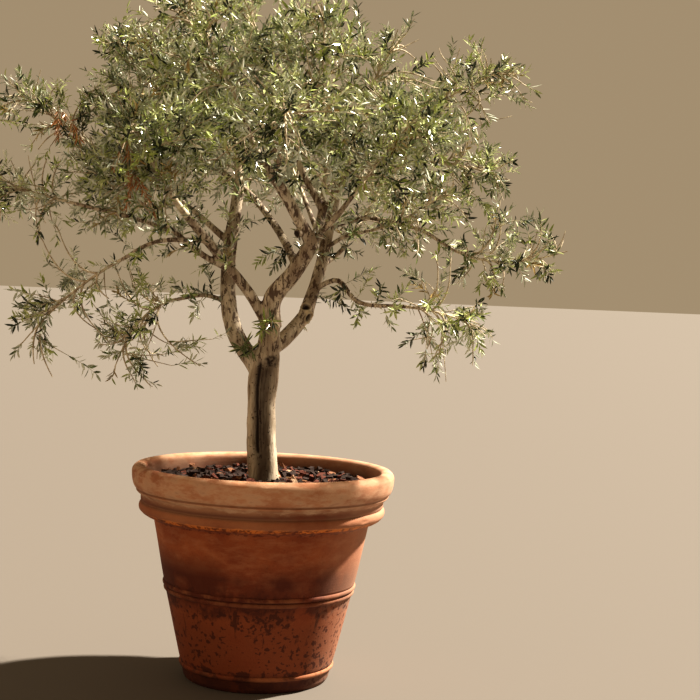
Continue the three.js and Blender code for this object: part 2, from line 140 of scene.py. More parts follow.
print("mid grey in linear light:", round(shade("#808080")[0], 3))

# %% [markdown]
# ## Growing by rule
#
# A tree repeats one rule at every size: a limb tapers, bends a little, and gives off smaller limbs.
# The CAD part was grown from two short tables, one of limbs and one of leafy masses, so the same
# tables stand here and the same rule is carried on from boughs to twigs, shoots and single leaves.
# Fullness is what the picture shows beyond them: below 1 a mass is thinner than its solid, above 1
# fuller. Everything is worked out in millimetres, and turned into metres when a mesh is made.

# %% The tables of limbs and masses
SOIL_LEVEL = 800
CLEARANCE = 0.3
TRUNK = np.array([  # height above the soil, offset to the right and back, radius
    [0, 0, 0, 68],
    [60, -5, 0, 63],
    [150, -14, 0, 60],
    [320, -20, 0, 56],
    [420, -16, -1, 62],
    [480, -9, -4, 56],
    [550, -1, -10, 44],
    [625, 5, -20, 40],
], float)
LIMBS = {  # name: parent, share of its length, foot and tip radius, legs of (heading, rise, length)
    "bough_left": ("trunk", 0.67, 37, 24, [(167, 55, 230), (119, 74, 250), (74, 73, 330)]),
    "bough_centre": ("trunk", 1, 39, 30, [(275, 77, 110), (329, 50, 150), (336, 58, 135)]),
    "bough_right": ("trunk", 0.84, 33, 28, [(33, 32, 90), (33, 45, 145)]),
    "bough_left_front": ("trunk", 0.98, 23, 16, [(199, 56, 180), (211, 45, 135), (216, 43, 275)]),
    "bough_right_upper": ("bough_right", 1, 27, 19, [(49, 67, 205), (63, 68, 300), (63, 75, 90)]),
    "bough_crown": ("bough_centre", 1, 25, 19, [(210, 54, 240), (194, 53, 140)]),
    "bough_crown_top": ("bough_crown", 1, 17, 12, [(9, 50, 190), (0, 62, 90)]),
    "bough_crown_left": ("bough_crown", 0.97, 13, 9, [(150, 55, 100), (175, 68, 100)]),
    "bough_centre_back": ("bough_centre", 0.97, 22, 15, [(62, 48, 110), (78, 62, 130)]),
    "bough_top": ("bough_centre_back", 0.8, 14, 9, [(165, 60, 200), (150, 72, 290)]),
    "bough_back_left": ("bough_centre", 0.72, 17, 10, [(115, 37, 260), (128, 36, 275), (145, 30, 270)]),
    "bough_back": ("bough_right_upper", 0.5, 13, 9, [(105, 32, 140), (112, 44, 220)]),
    "bough_front": ("bough_crown", 0.62, 13, 9, [(255, 34, 100), (268, 48, 100)]),
    "branch_left_middle": ("bough_left_front", 0.5, 13, 9, [(206, 24, 140), (186, 38, 190)]),
    "branch_left_low": ("bough_left", 0.42, 10, 7, [(190, 15, 100), (200, -10, 120)]),
    "branch_left_droop": ("bough_left_front", 0.78, 10, 7, [(190, -5, 200), (178, -30, 150)]),
    "branch_left_high": ("bough_left", 0.73, 13, 8, [(172, 38, 250), (184, 30, 390)]),
    "branch_left_crest": ("branch_left_high", 0.45, 9, 7, [(158, 58, 90), (176, 72, 160)]),
    "branch_left_far": ("branch_left_middle", 0.8, 9, 7, [(170, 18, 150), (172, 12, 280)]),
    "branch_right_front": ("bough_centre_back", 0.2, 13, 9, [(320, 38, 120), (336, 52, 120)]),
    "branch_right_crest": ("bough_centre_back", 0.7, 11, 8, [(345, 60, 160), (328, 74, 260)]),
    "branch_right_top": ("bough_right_upper", 1, 12, 9, [(36, 38, 105), (25, 11, 100)]),
    "branch_right_high": ("branch_right_top", 0.5, 8, 6, [(324, 28, 180), (338, 40, 250)]),
    "branch_right_side": ("branch_right_top", 0.75, 8, 6, [(338, 14, 95), (345, 2, 190)]),
    "branch_right_back": ("bough_right_upper", 0.36, 10, 8, [(52, 28, 170), (60, 38, 190)]),
    "branch_right_mid": ("bough_right_upper", 0.5, 9, 7, [(330, 30, 110), (338, 14, 110)]),
    "branch_right_far": ("bough_right_upper", 0.67, 11, 7, [(332, 13, 170), (0, -9, 225), (0, -28, 145)]),
    "branch_right_low": ("bough_right_upper", 0.18, 11, 7,
                         [(318, 26, 90), (312, 4, 60), (313, -35, 140), (337, -3, 200)]),
}
MASSES = {  # name: carrier, middle, half size, leafiness, droop, fullness
    "left_inner": ("bough_left", (-215, 260, 2190), (260, 260, 240), 1.0, 0.0, 1.2),
    "left_front": ("bough_left_front", (-440, -400, 2040), (270, 270, 230), 1.0, 0.0, 1.2),
    "left": ("branch_left_middle", (-610, -50, 1960), (240, 230, 200), 0.9, 0.1, 1.2),
    "left_arm_high": ("branch_left_high", (-890, 60, 2230), (290, 190, 150), 0.7, 0.1, 0.75),
    "left_crest": ("branch_left_crest", (-560, 90, 2370), (240, 270, 260), 1.0, -0.1, 1.0),
    "left_arm_low": ("branch_left_far", (-910, -20, 1910), (260, 200, 150), 0.6, 0.2, 0.65),
    "left_droop": ("branch_left_droop", (-790, -170, 1480), (200, 190, 290), 0.6, 0.15, 0.4),
    "left_low": ("branch_left_low", (-450, -20, 1430), (260, 220, 240), 0.6, -0.15, 0.6),
    "crown_left": ("bough_crown_left", (-290, -260, 2460), (280, 270, 260), 1.1, -0.2, 1.1),
    "crown_right": ("bough_crown_top", (130, -210, 2460), (230, 260, 225), 1.1, -0.2, 0.95),
    "centre": ("bough_centre_back", (190, 60, 2190), (240, 240, 230), 1.1, 0.0, 1.0),
    "top": ("bough_top", (-100, 90, 2570), (290, 290, 270), 1.0, -0.2, 1.0),
    "back_left": ("bough_back_left", (-400, 560, 2190), (280, 280, 270), 0.8, 0.0, 1.0),
    "back": ("bough_back", (30, 650, 2190), (280, 270, 260), 0.8, 0.0, 1.0),
    "front": ("bough_front", (20, -570, 2140), (280, 280, 250), 1.0, 0.0, 0.7),
    "right_front": ("branch_right_front", (420, -360, 2110), (260, 270, 240), 0.9, 0.0, 1.0),
    "right": ("branch_right_top", (560, 330, 2250), (240, 240, 220), 0.8, 0.0, 0.75),
    "right_crest": ("branch_right_crest", (410, -30, 2450), (220, 240, 190), 0.8, -0.1, 0.6),
    "right_back": ("branch_right_back", (460, 570, 2030), (260, 260, 240), 0.8, 0.1, 0.65),
    "right_mid": ("branch_right_mid", (560, -10, 1930), (210, 230, 170), 0.7, 0.1, 0.65),
    "right_far": ("branch_right_far", (950, 110, 1780), (270, 170, 160), 0.6, 0.2, 0.8),
    "right_high": ("branch_right_high", (780, 90, 2420), (230, 200, 160), 0.6, 0.0, 0.8),
    "right_side": ("branch_right_side", (780, 240, 2110), (210, 210, 170), 0.6, 0.1, 0.7),
    "right_low": ("branch_right_low", (650, -170, 1500), (200, 190, 210), 0.6, 0.4, 0.75),
}
print(len(LIMBS), "limbs and", len(MASSES), "leafy masses")

# %% [markdown]
# ## Limbs as curves
#
# Each limb is a smooth curve through the ends of its legs, stored as many short chords, so that a place
# on it is found by its share of the length. Its radius tapers from foot to tip and swells into a collar
# where it leaves its parent, which is where a living tree is always thickest.

# %% Curves and radii of the limbs
CHORDS = 60
COLLAR_SWELL, COLLAR_SHARE = 0.18, 0.2


def unit(v):
    return v / np.maximum(np.linalg.norm(v, axis=-1, keepdims=True), 1e-9)


def heading_of(heading, rise):
    h, r = math.radians(heading), math.radians(rise)
    return np.array([math.cos(r) * math.cos(h), math.cos(r) * math.sin(h), math.sin(r)])


def smooth_line(joints):
    """Chords of a centripetal Catmull-Rom curve through the joints."""
    joints = np.asarray(joints, float)
    padded = np.vstack([2 * joints[0] - joints[1], joints, 2 * joints[-1] - joints[-2]])
    t = np.linspace(0, 1, CHORDS, endpoint=False)[:, None]
    parts = []
    for p0, p1, p2, p3 in zip(padded, padded[1:], padded[2:], padded[3:]):
        a, b, c = [math.sqrt(np.linalg.norm(q - p)) for p, q in ((p0, p1), (p1, p2), (p2, p3))]
        out = b * ((p1 - p0) / a - (p2 - p0) / (a + b) + (p2 - p1) / b)
        into = b * ((p2 - p1) / b - (p3 - p1) / (b + c) + (p3 - p2) / c)
        bend = -3 * p1 + 3 * p2 - 2 * out - into
        parts.append(p1 + out * t + bend * t**2 + (2 * p1 - 2 * p2 + out + into) * t**3)
    return np.vstack([*parts, joints[-1:]])


def length_of(line):
    return np.linalg.norm(np.diff(line, axis=0), axis=1).sum()


def spots(line, shares):
    """Points at shares of a line's length."""
    steps = np.linalg.norm(np.diff(line, axis=0), axis=1)
    own_shares = np.concatenate([[0], np.cumsum(steps)]) / steps.sum()
    return np.stack([np.interp(shares, own_shares, line[:, i]) for i in range(3)], axis=-1)


def limb_radius(foot, tip, share):
    collar = COLLAR_SWELL * foot * np.maximum(0, 1 - share / COLLAR_SHARE) ** 2
    return foot + (tip - foot) * share + collar


trunk_joints = TRUNK[:, [1, 2, 0]] + [0, 0, SOIL_LEVEL + CLEARANCE]
limbs = {"trunk": (smooth_line(trunk_joints), TRUNK[1, 3], TRUNK[-1, 3])}
for name, (parent, at, foot, tip, legs) in LIMBS.items():
    joints = [spots(limbs[parent][0], at)]
    for heading, rise, length in legs:
        joints.append(joints[-1] + length * heading_of(heading, rise))
    limbs[name] = (smooth_line(joints), foot, tip)
print("length of all limbs:", round(sum(length_of(line) for line, _, _ in limbs.values()) / 1000, 1), "m")

# %% [markdown]
# ## The space of each mass
#
# A mass of foliage keeps to an ellipsoid, and a plane parts it from each neighbour. The stem runs on
# from the limb through the middle to the far edge, and twigs leave it at the golden angle, 137.5
# degrees apart, which is how most plants keep each new shoot out of the shade of the last.

# %% Spaces, stems and twigs, as in the CAD part
GOLDEN_ANGLE = 137.508
CELL_MARGIN = 1.5
LIMB_MARGIN = 10
STATION_SPACING = 15
FIRST_SEED = 101
TWIG_LEAD = 0.45  # share of a curve's length for which it keeps its first direction
TWIG_START = 0.4  # share of its opening at which a twig sets off
TWIG_ROOM = 6
SHORTEST_TWIG = 90

stations, keeps = [], []
for line, foot, tip in limbs.values():
    shares = np.linspace(0, 1, math.ceil(length_of(line) / STATION_SPACING) + 1)
    stations.append(spots(line, shares))
    keeps.append(limb_radius(foot, tip, shares))
stations, keeps = np.vstack(stations), np.concatenate(keeps)


def space_of(name):
    """A mass's middle, half size, and the planes that part it from the others."""
    middle, half = (np.array(v, float) for v in MASSES[name][1:3])
    normals, distances = [], []
    for other, (_, other_middle, other_half, *_) in MASSES.items():
        if other == name:
            continue
        way = np.array(other_middle) - middle
        apart = np.linalg.norm(way)
        way = way / apart
        mine, theirs = (1 / np.linalg.norm(way / size) for size in (half, np.array(other_half)))
        normals.append(way)
        distances.append(middle @ way + apart * (mine / (mine + theirs)) - CELL_MARGIN)
    return middle, half, np.array(normals), np.array(distances)


def inside(space, points, margin=0.0):
    middle, half, normals, distances = space
    in_shell = np.linalg.norm((points - middle) / half, axis=-1) <= 1
    return in_shell & np.all(points @ normals.T <= distances - margin, axis=-1)


def reach(space, start, way):
    """How far the space goes on from points inside it, along directions."""
    middle, half, normals, distances = space
    p, d = (start - middle) / half, way / half
    a, b, c = (d * d).sum(-1), (p * d).sum(-1), (p * p).sum(-1) - 1
    far = (-b + np.sqrt(np.maximum(0, b * b - a * c))) / a
    closing = way @ normals.T
    gap = np.maximum(0, distances - start @ normals.T) / np.maximum(closing, 1e-6)
    return np.minimum(far, np.where(closing > 1e-6, gap, np.inf).min(-1))


def bent(start, way, end, steps):
    """A curve that sets off along a direction and ends at a point."""
    turn_point = start + way * TWIG_LEAD * np.linalg.norm(end - start)
    t = np.linspace(0, 1, steps + 1)[:, None]
    return (1 - t) ** 2 * start + 2 * t * (1 - t) * turn_point + t**2 * end


def around(axis, opening, bearing):
    """Directions that open from axes by an angle, at a bearing round them, all in radians."""
    axis = np.asarray(axis, float)
    across = np.cross([0.0, 0.0, 1.0], axis)
    across = unit(np.where(np.linalg.norm(across, axis=-1, keepdims=True) < 0.03, [1.0, 0, 0], across))
    side = np.cos(bearing)[..., None] * across + np.sin(bearing)[..., None] * np.cross(axis, across)
    return np.cos(opening)[..., None] * axis + np.sin(opening)[..., None] * side


def near_limb(points, margin):
    """Whether each point is closer to a limb's middle than its radius and a margin."""
    gaps = np.linalg.norm(points[:, None, :] - stations[None], axis=-1)
    return np.any(gaps < keeps + margin, axis=1)


def first_turn(seed):
    """The first number of the CAD part's own random row, as an angle in degrees."""
    return ((seed * 1664525 + 1013904223) % 2**32) / 2**32 * 360


def twigs_of(space, stem, turned, count, opens, places):
    """Twigs off a stem at the golden angle, each ending at the edge of the space."""
    made = []
    for i in range(count):
        along = (i + 0.5) / count
        share = places[0] + (places[1] - places[0]) * along
        t = np.array([share, share + 0.001])[:, None]
        a, b, c = stem
        spot, ahead = (1 - t) ** 2 * a + 2 * t * (1 - t) * b + t**2 * c
        if not inside(space, spot, TWIG_ROOM):
            continue
        axis = unit(ahead - spot)
        opening = np.radians(opens[0] + (opens[1] - opens[0]) * along)
        bearing = np.radians(turned + GOLDEN_ANGLE * i)
        way = around(axis, opening, bearing)
        end = spot + way * reach(space, spot, way)
        twig = bent(spot, around(axis, TWIG_START * opening, bearing), end, steps=10)
        if near_limb(twig[2::2], LIMB_MARGIN).any() or np.linalg.norm(end - spot) < SHORTEST_TWIG:
            continue
        made.append(twig)
    return made


print(len(stations), "stations along the limbs, which the twigs keep clear of")

# %% [markdown]
# ## Side twigs and shoots
#
# This is where the lesson goes past the CAD part. Every stem and twig gives off side twigs, and all of
# them give off leafy shoots about a hand long, always at the golden angle. One function grows both. They
# keep to the space of their mass, apart from a few that run ahead of the rest and make the crown's
# edge ragged. The last one has a least length, so hardly any twig ends bare. Ends that would pass the
# CAD part's box stop at a random distance from it, at most 2 cm outside, so no side looks clipped. Each
# one is a curve of three points: where it starts, the point it leans towards, and where it ends.

# %% A rule that grows side wood
RUN_AHEAD = (0.75, 1.16)  # share of the room in its space that a shoot takes
PAST_SPACE, OUTSIDE_START = 22, 30
SHORTEST_SHOOT, LAST_SHOOT = 34.0, 52.0
LAST_OPENING = 0.2  # the last one goes nearly straight on
LIFT, DROOP_LIFT, RISE_LIFT, UNEVEN_LIFT = 0.16, 0.9, 0.25, (0.2, 1.5)
SAG, DROOP_SAG, UNEVEN_SAG = 0.10, 0.55, 0.09
LEAN_OUT, LEAN_DOWN, LEAN_ALONG, UNEVEN_LEAN = 0.5, 0.15, 0.05, 4
BOX_MARGIN = 14.0
EDGE_SLACK = (-85.0, 34.0)
LEAF_SLACK = 50.0
THINS_FROM, THINS_OVER, THINS_BY = 2430.0, 330.0, 0.72  # the crown loosens towards its top
UP = np.array([0.0, 0.0, 1.0])
box_low, box_high = np.array(cad_low) / MM + BOX_MARGIN, np.array(cad_high) / MM - BOX_MARGIN
rng = np.random.default_rng(20)


def side_wood(wood, first, spacing, lengths, openings, droop, space=None):
    """Curves that leave a line of wood at the golden angle, as an array (n, 3 points, 3)."""
    count = max(2, round(length_of(wood) * (1 - first) / spacing))
    shares = np.linspace(first, 1.0, count)
    start = spots(wood, shares)
    axis = unit(spots(wood, np.minimum(shares + 0.02, 1)) - spots(wood, shares - 0.02))
    opening = np.radians(rng.uniform(*openings, count))
    opening[-1] *= LAST_OPENING
    bearing = np.radians(rng.uniform(0, 360) + GOLDEN_ANGLE * np.arange(count))
    way = around(axis, opening, bearing)
    lift = LIFT - DROOP_LIFT * max(droop, 0) - RISE_LIFT * min(droop, 0)
    way = unit(way + UP * lift * rng.uniform(*UNEVEN_LIFT, (count, 1)))
    length = rng.uniform(*lengths, count)
    good = np.full(count, True)
    if space is not None:
        room = reach(space, start, way) * rng.uniform(*RUN_AHEAD, count)
        length = np.minimum(length, room + PAST_SPACE)
        length[-1] = max(length[-1], LAST_SHOOT)
        good = (length > SHORTEST_SHOOT) & inside(space, start, -OUTSIDE_START)
        good &= rng.random(count) > THINS_BY * np.clip((start[:, 2] - THINS_FROM) / THINS_OVER, 0, 1)
    length = length[:, None]
    sag = UP * length * (SAG - DROOP_SAG * max(droop, 0) + rng.normal(0, UNEVEN_SAG, (count, 1)))
    lean = start + way * length * LEAN_OUT - sag * LEAN_DOWN + axis * length * LEAN_ALONG
    lean = lean + rng.normal(0, UNEVEN_LEAN, (count, 3))
    slack = rng.uniform(*EDGE_SLACK, (count, 1))
    end = np.clip(start + way * length + sag, box_low - slack, box_high + slack)
    return np.stack([start, lean, end], axis=1)[good]


def drawn(curves, steps):
    """Lines of points along curves of three points."""
    a, b, c = (curves[:, i, None] for i in range(3))
    s = np.linspace(0, 1, steps + 1)[:, None]
    return (1 - s) ** 2 * a + 2 * s * (1 - s) * b + s**2 * c


print("ends of shoots are held near the box", box_low.round(), box_high.round(), "mm")

# %% [markdown]
# Each mass now grows from its limb outwards: the stem, the CAD part's own twigs and a few more between
# them, the side twigs, and the shoots. A mass that is thinner than its solid gets fewer of the last two.
# A loop grows them in turn, where a scattering tool would lose the order in which a plant branches.

# %% Grow every mass
TWIG_COUNT, TWIG_OPENS, TWIG_PLACES = 5, (82, 38), (0.14, 0.9)
EXTRA_TWIGS, EXTRA_TURN, EXTRA_OPENS, EXTRA_PLACES = 8, 67, (95, 45), (0.05, 0.95)
SIDE_TWIG_SPACING, SIDE_TWIG_LENGTH, SIDE_TWIG_OPENING = 52.0, (80.0, 210.0), (34.0, 76.0)
SHOOT_SPACING, SHOOT_LENGTH, SHOOT_OPENING = 35.0, (60.0, 165.0), (24.0, 74.0)
SIDE_TWIG_STEPS, SHOOT_STEPS = 6, 4
SIDE_TWIGS_FROM = {"stem": 0.15, "twig": 0.25}  # share of its length for which wood stays bare
SHOOTS_FROM = {"stem": 0.25, "twig": 0.15, "side twig": 0.25}

stem_lines, stem_feet, twig_lines, side_twigs, shoots = [], [], [], [], []
for number, (name, (carrier, _, _, leafiness, droop, fullness)) in enumerate(MASSES.items()):
    space = space_of(name)
    line, _, tip = limbs[carrier]
    along = unit(line[-1] - line[-2])
    foot = line[-1] + along * CLEARANCE
    onward = unit(space[0] - foot)
    edge = space[0] + onward * reach(space, space[0], onward)
    stem = (foot, foot + along * TWIG_LEAD * np.linalg.norm(edge - foot), edge)
    turned = first_turn(FIRST_SEED + number)
    twigs = twigs_of(space, stem, turned, TWIG_COUNT, TWIG_OPENS, TWIG_PLACES)
    twigs += twigs_of(space, stem, turned + EXTRA_TURN, EXTRA_TWIGS, EXTRA_OPENS, EXTRA_PLACES)
    stem_line = bent(foot, along, edge, steps=16)
    stem_lines.append(stem_line)
    stem_feet.append(tip)
    twig_lines += twigs
    spacing = SIDE_TWIG_SPACING / min(1, fullness)
    wood = [(stem_line, SIDE_TWIGS_FROM["stem"])] + [(w, SIDE_TWIGS_FROM["twig"]) for w in twigs]
    sides = [side_wood(w, first, spacing, SIDE_TWIG_LENGTH, SIDE_TWIG_OPENING, droop, space)
             for w, first in wood]
    sides = np.concatenate(sides)
    side_twigs.append(sides)
    spacing = SHOOT_SPACING / (leafiness * fullness)
    wood = [(stem_line, SHOOTS_FROM["stem"])] + [(w, SHOOTS_FROM["twig"]) for w in twigs]
    wood += [(w, SHOOTS_FROM["side twig"]) for w in drawn(sides, SIDE_TWIG_STEPS)]
    for w, first in wood:
        shoots.append(side_wood(w, first, spacing, SHOOT_LENGTH, SHOOT_OPENING, droop, space))
side_twigs, shoots = np.concatenate(side_twigs), np.concatenate(shoots)
print(len(stem_lines), "stems,", len(twig_lines), "twigs")
print(len(side_twigs), "side twigs,", len(shoots), "shoots")

# %% [markdown]
# Branches also bear a few leafy shoots of their own before they reach their mass. They are what makes
# an old branch look alive, and in the picture they trail along every thin one.

# %% Shoots along the branches
BRANCH_SHOOT_SPACING, BRANCH_SHOOT_LENGTH, BRANCH_SHOOT_OPENING = 30.0, (60.0, 150.0), (35.0, 85.0)
BRANCH_SHOOT_DROOP = 0.05
BRANCH_BARE_SHARE, BOUGH_BARE_SHARE = 0.3, 0.8
LEAFY_FROM = {"bough_left": 0.66, "bough_left_front": 0.5, "bough_back_left": 0.5, "bough_crown": 0.7}

along_limbs = []
for name in LIMBS:
    bare = LEAFY_FROM.get(name, BRANCH_BARE_SHARE if name.startswith("branch") else BOUGH_BARE_SHARE)
    along_limbs.append(side_wood(limbs[name][0], bare, BRANCH_SHOOT_SPACING, BRANCH_SHOOT_LENGTH,
                                 BRANCH_SHOOT_OPENING, BRANCH_SHOOT_DROOP))
along_limbs = np.concatenate(along_limbs)
print(len(along_limbs), "shoots on bare branches")

# %% [markdown]
# Some growth is listed one by one, because the picture shows it so clearly: two tufts that have broken
# from the old wood at the fork, dark sprays that hang inside and under the crown, dead sprays that have
# dried to rust, and a few bare twigs. Each starts from the nearest wood that is already there.

# %% Growth that the picture shows one by one
HAND_PLACED = [  # what it is, where it starts, where it ends
    ("tuft", (-8, -58, 1428), (-22, -96, 1436)),
    ("tuft", (-4, -55, 1422), (14, -88, 1446)),
    ("tuft", (-10, -58, 1420), (-28, -90, 1402)),
    ("tuft", (-86, -22, 1326), (-112, -52, 1332)),
    ("tuft", (-82, -24, 1322), (-62, -62, 1322)),
    ("tuft", (-88, -20, 1330), (-90, -58, 1352)),
    ("leafy", (58, 0, 1750), (-56, -60, 1681)),
    ("leafy", (58, 0, 1750), (0, -50, 1652)),
    ("leafy", (70, -20, 1742), (34, -70, 1690)),
    ("leafy", (-28, 152, 1881), (-26, 110, 1858)),
    ("leafy", (171, 117, 1561), (320, 30, 1507)),
    ("leafy", (-150, 20, 1500), (-365, 0, 1566)),
    ("bare", (560, 130, 2080), (966, 120, 2330)),
    ("bare", (60, -60, 2560), (157, -50, 2732)),
    ("bare", (60, -60, 2540), (110, -80, 2740)),
    ("dead", (-560, -420, 2160), (-545, -440, 1960)),
    ("dead", (-560, -420, 2120), (-600, -430, 2000)),
    ("dead", (-530, -400, 2000), (-450, -430, 1850)),
    ("dead", (-530, -400, 2010), (-545, -450, 1860)),
    ("dead", (-830, -100, 2230), (-850, -160, 2130)),
    ("dead", (-800, -100, 2230), (-760, -170, 2120)),
]
TUFT_RISE, HAND_RISE = 0.3, 0.12  # how far a shoot bows up, as a share of its length
all_wood = np.vstack([stations, *twig_lines, drawn(side_twigs, SIDE_TWIG_STEPS).reshape(-1, 3)])

hand_curves = []
for what, start, end in HAND_PLACED:
    start = all_wood[np.argmin(np.linalg.norm(all_wood - np.array(start, float), axis=1))]
    end = np.array(end, float)
    rise = UP * np.linalg.norm(end - start) * (TUFT_RISE if what == "tuft" else HAND_RISE)
    hand_curves.append(np.stack([start, (start + end) / 2 + rise, end]))
hand_curves = np.array(hand_curves)
hand_kinds = np.array([row[0] for row in HAND_PLACED])
print(len(hand_curves), "shoots and twigs placed by hand")

# %% [markdown]
# ## Arrays into meshes
#
# Over 400,000 leaf faces are too many to handle one by one, so each kind of piece is worked out as one
# array and handed to Blender whole. `piece` makes the object and lets it ride on the CAD body.

# %% Helpers for meshes


def mesh_of(name, points, faces, smooth=False):
    """A mesh from points in millimetres and faces of one size, given as arrays."""
    points = np.ascontiguousarray(points.reshape(-1, 3) * MM, dtype=np.float32)
    faces = np.ascontiguousarray(faces, dtype=np.int32)
    mesh = bpy.data.meshes.new(name)
    mesh.vertices.add(len(points))
    mesh.vertices.foreach_set("co", points.ravel())
    mesh.loops.add(faces.size)
    mesh.loops.foreach_set("vertex_index", faces.ravel())
    mesh.polygons.add(len(faces))
    mesh.polygons.foreach_set("loop_start", np.arange(len(faces), dtype=np.int32) * faces.shape[1])
    mesh.polygons.foreach_set("use_smooth", np.full(len(faces), smooth))
    mesh.update(calc_edges=True)
    mesh.validate()
    return mesh


def piece(mesh, materials, replaced=()):
    """An object of the tree: it rides on the CAD body and may stand for some of its nodes."""
    made = bpy.data.objects.new(mesh.name, mesh)
    bpy.context.scene.collection.objects.link(made)
    for material in materials:
        mesh.materials.append(material)
    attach(made, BODY)
    if replaced:
        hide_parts(*replaced)
    print(made.name, "has", len(mesh.polygons), "faces")


def ring_faces(rings, sides):
    """Four-sided faces between closed rings of points."""
    first = np.arange(rings * sides).reshape(rings, sides)
    after = np.roll(first, -1, axis=1)
    return np.stack([first[:-1], after[:-1], after[1:], first[1:]], axis=-1).reshape(-1, 4)


def copies(faces, count, size):
    """The same faces for each of many bodies with a number of points each."""
    return (np.arange(count)[:, None, None] * size + faces[None]).reshape(-1, faces.shape[1])


def around_axis(sides):
    angle = np.arange(sides) * 2 * np.pi / sides
    return np.cos(angle), np.sin(angle)


def tubes(lines, radii, sides):
    """Points and faces of tubes, from arrays of lines (n, rings, 3) and radii (n, rings)."""
    ways = unit(np.gradient(lines, axis=1))
    chord = unit(lines[:, -1] - lines[:, 0])
    helper = np.where(np.abs(chord[:, 2:]) > 0.8, [1.0, 0, 0], [0, 0, 1.0])
    side = unit(np.cross(chord, helper))[:, None, :]
    side = unit(side - ways * (ways * side).sum(-1, keepdims=True))
    other = np.cross(ways, side)
    cosine, sine = around_axis(sides)
    ring = side[:, :, None] * cosine[:, None] + other[:, :, None] * sine[:, None]
    points = lines[:, :, None] + ring * radii[:, :, None, None]
    count, rings = radii.shape
    return points.reshape(-1, 3), copies(ring_faces(rings, sides), count, rings * sides)


def joined(parts):
    """Several (points, faces) as one."""
    starts = np.cumsum([0] + [len(points) for points, _ in parts])
    faces = [some_faces + start for (_, some_faces), start in zip(parts, starts)]
    return np.vstack([points for points, _ in parts]), np.vstack(faces)


def noise_at(points, size, seed=0.0):
    """Smooth noise, from about -1 to 1, with lumps of a size in millimetres."""
    return np.array([noise.noise(Vector(p)) for p in points / size + seed])


print("a ring of four sides has", len(ring_faces(2, 4)), "faces")

# %% [markdown]
# ## Bark
#
# Young olive bark is smooth and grey. On this tree it is still mostly smooth, cream and grey-beige, with
# small dark scars where old twigs fell off, and the boughs are blotched with brown. The trunk looks like
# two stems grown together: a deep crack runs down its front, left of the middle, with two narrower
# ones beside it, and the inside of each is painted dark as shade. A mesh with real relief is used,
# because the outline of a trunk shows its lumps: all limbs are made as tubes, melted into one skin by a
# voxel remesh, and then pushed in and out.

# %% Tubes of the trunk and limbs
CRACKS = [  # bearing at the foot and at the head, half width in degrees, depth, foot, head
    (255, 243, 15.0, 17, 90, 500),
    (271, 262, 8.0, 7, 90, 470),
    (285, 279, 6.5, 6, 140, 480),
]
CRACK_FADE, CRACK_SWAY, CRACK_WAVE, CRACK_ROUNDNESS = 38, 1.6, 31, 0.7
# The inside of a crack is painted dark as shade: fully over the middle third of its width, and darker in a
# deeper crack.
CRACK_SHADE_TO, CRACK_SHADE, CRACK_SHADE_PER_MM = 1.5, 0.80, 0.012
FLUTE = {"bearing": 268, "half": 38, "depth": 12, "foot": 20, "head": 500, "fade": 90}
ROOT_FLARE = {"reach": 6, "height": 45, "toes": 5}
FOOT_RADIUS, FOOT_UP_TO = 61, 100


def blend_between(x, low, high):
    t = np.clip((x - low) / (high - low), 0, 1)
    return t * t * (3 - 2 * t)


def off_bearing(bearing, degrees):
    off = bearing - np.radians(degrees)
    return np.degrees(np.abs(np.arctan2(np.sin(off), np.cos(off))))


def held_between(height, foot, head, fade):
    return blend_between(height, foot, foot + fade) * (1 - blend_between(height, head - fade, head))


def crack_depths(height, bearing):
    """How deep the cracks are at heights and bearings, in millimetres, and how much painted shade lies in
    them.
    """
    depth, share = 0.0, 0.0
    for foot_bearing, head_bearing, half, deep, foot, head in CRACKS:
        middle = foot_bearing + (head_bearing - foot_bearing) * height / head
        middle = middle + CRACK_SWAY * np.sin(height / CRACK_WAVE)
        narrow = np.maximum(0, 1 - off_bearing(bearing, middle) / half)
        narrow = narrow * held_between(height, foot, head, CRACK_FADE)
        depth = np.maximum(depth, deep * narrow**CRACK_ROUNDNESS)
        dark = np.minimum(1, CRACK_SHADE_TO * narrow) * (CRACK_SHADE + CRACK_SHADE_PER_MM * deep)
        share = np.maximum(share, dark)
    return depth, share


def trunk_radius(height, bearing):
    index = np.clip(np.searchsorted(TRUNK[:, 0], height), 1, len(TRUNK) - 1)
    low, high = TRUNK[index - 1], TRUNK[index]
    below = np.minimum(FOOT_RADIUS, low[..., 3])
    above = np.where(high[..., 0] < FOOT_UP_TO, FOOT_RADIUS, high[..., 3])
    round_radius = below + (above - below) * blend_between(height, low[..., 0], high[..., 0])
    near_ground = np.maximum(0, 1 - height / ROOT_FLARE["height"]) ** 2
    toes = ROOT_FLARE["reach"] * near_ground * (0.5 + 0.5 * np.cos(ROOT_FLARE["toes"] * bearing))
    flute = blend_between(np.maximum(0, 1 - off_bearing(bearing, FLUTE["bearing"]) / FLUTE["half"]), 0, 1)
    flute = FLUTE["depth"] * flute * held_between(height, FLUTE["foot"], FLUTE["head"], FLUTE["fade"])
    return round_radius + toes - flute - crack_depths(height, bearing)[0]


def trunk_tube(sides=96, rings=130):
    shares = np.linspace(0, 1, rings)
    line = spots(limbs["trunk"][0], shares)
    radius = trunk_radius(shares[:, None] * TRUNK[-1, 0], (np.arange(sides) * 2 * np.pi / sides)[None])
    ring = np.stack([*around_axis(sides), np.zeros(sides)], axis=-1)
    points = line[:, None] + ring[None] * radius[..., None]
    return points.reshape(-1, 3), ring_faces(rings, sides)


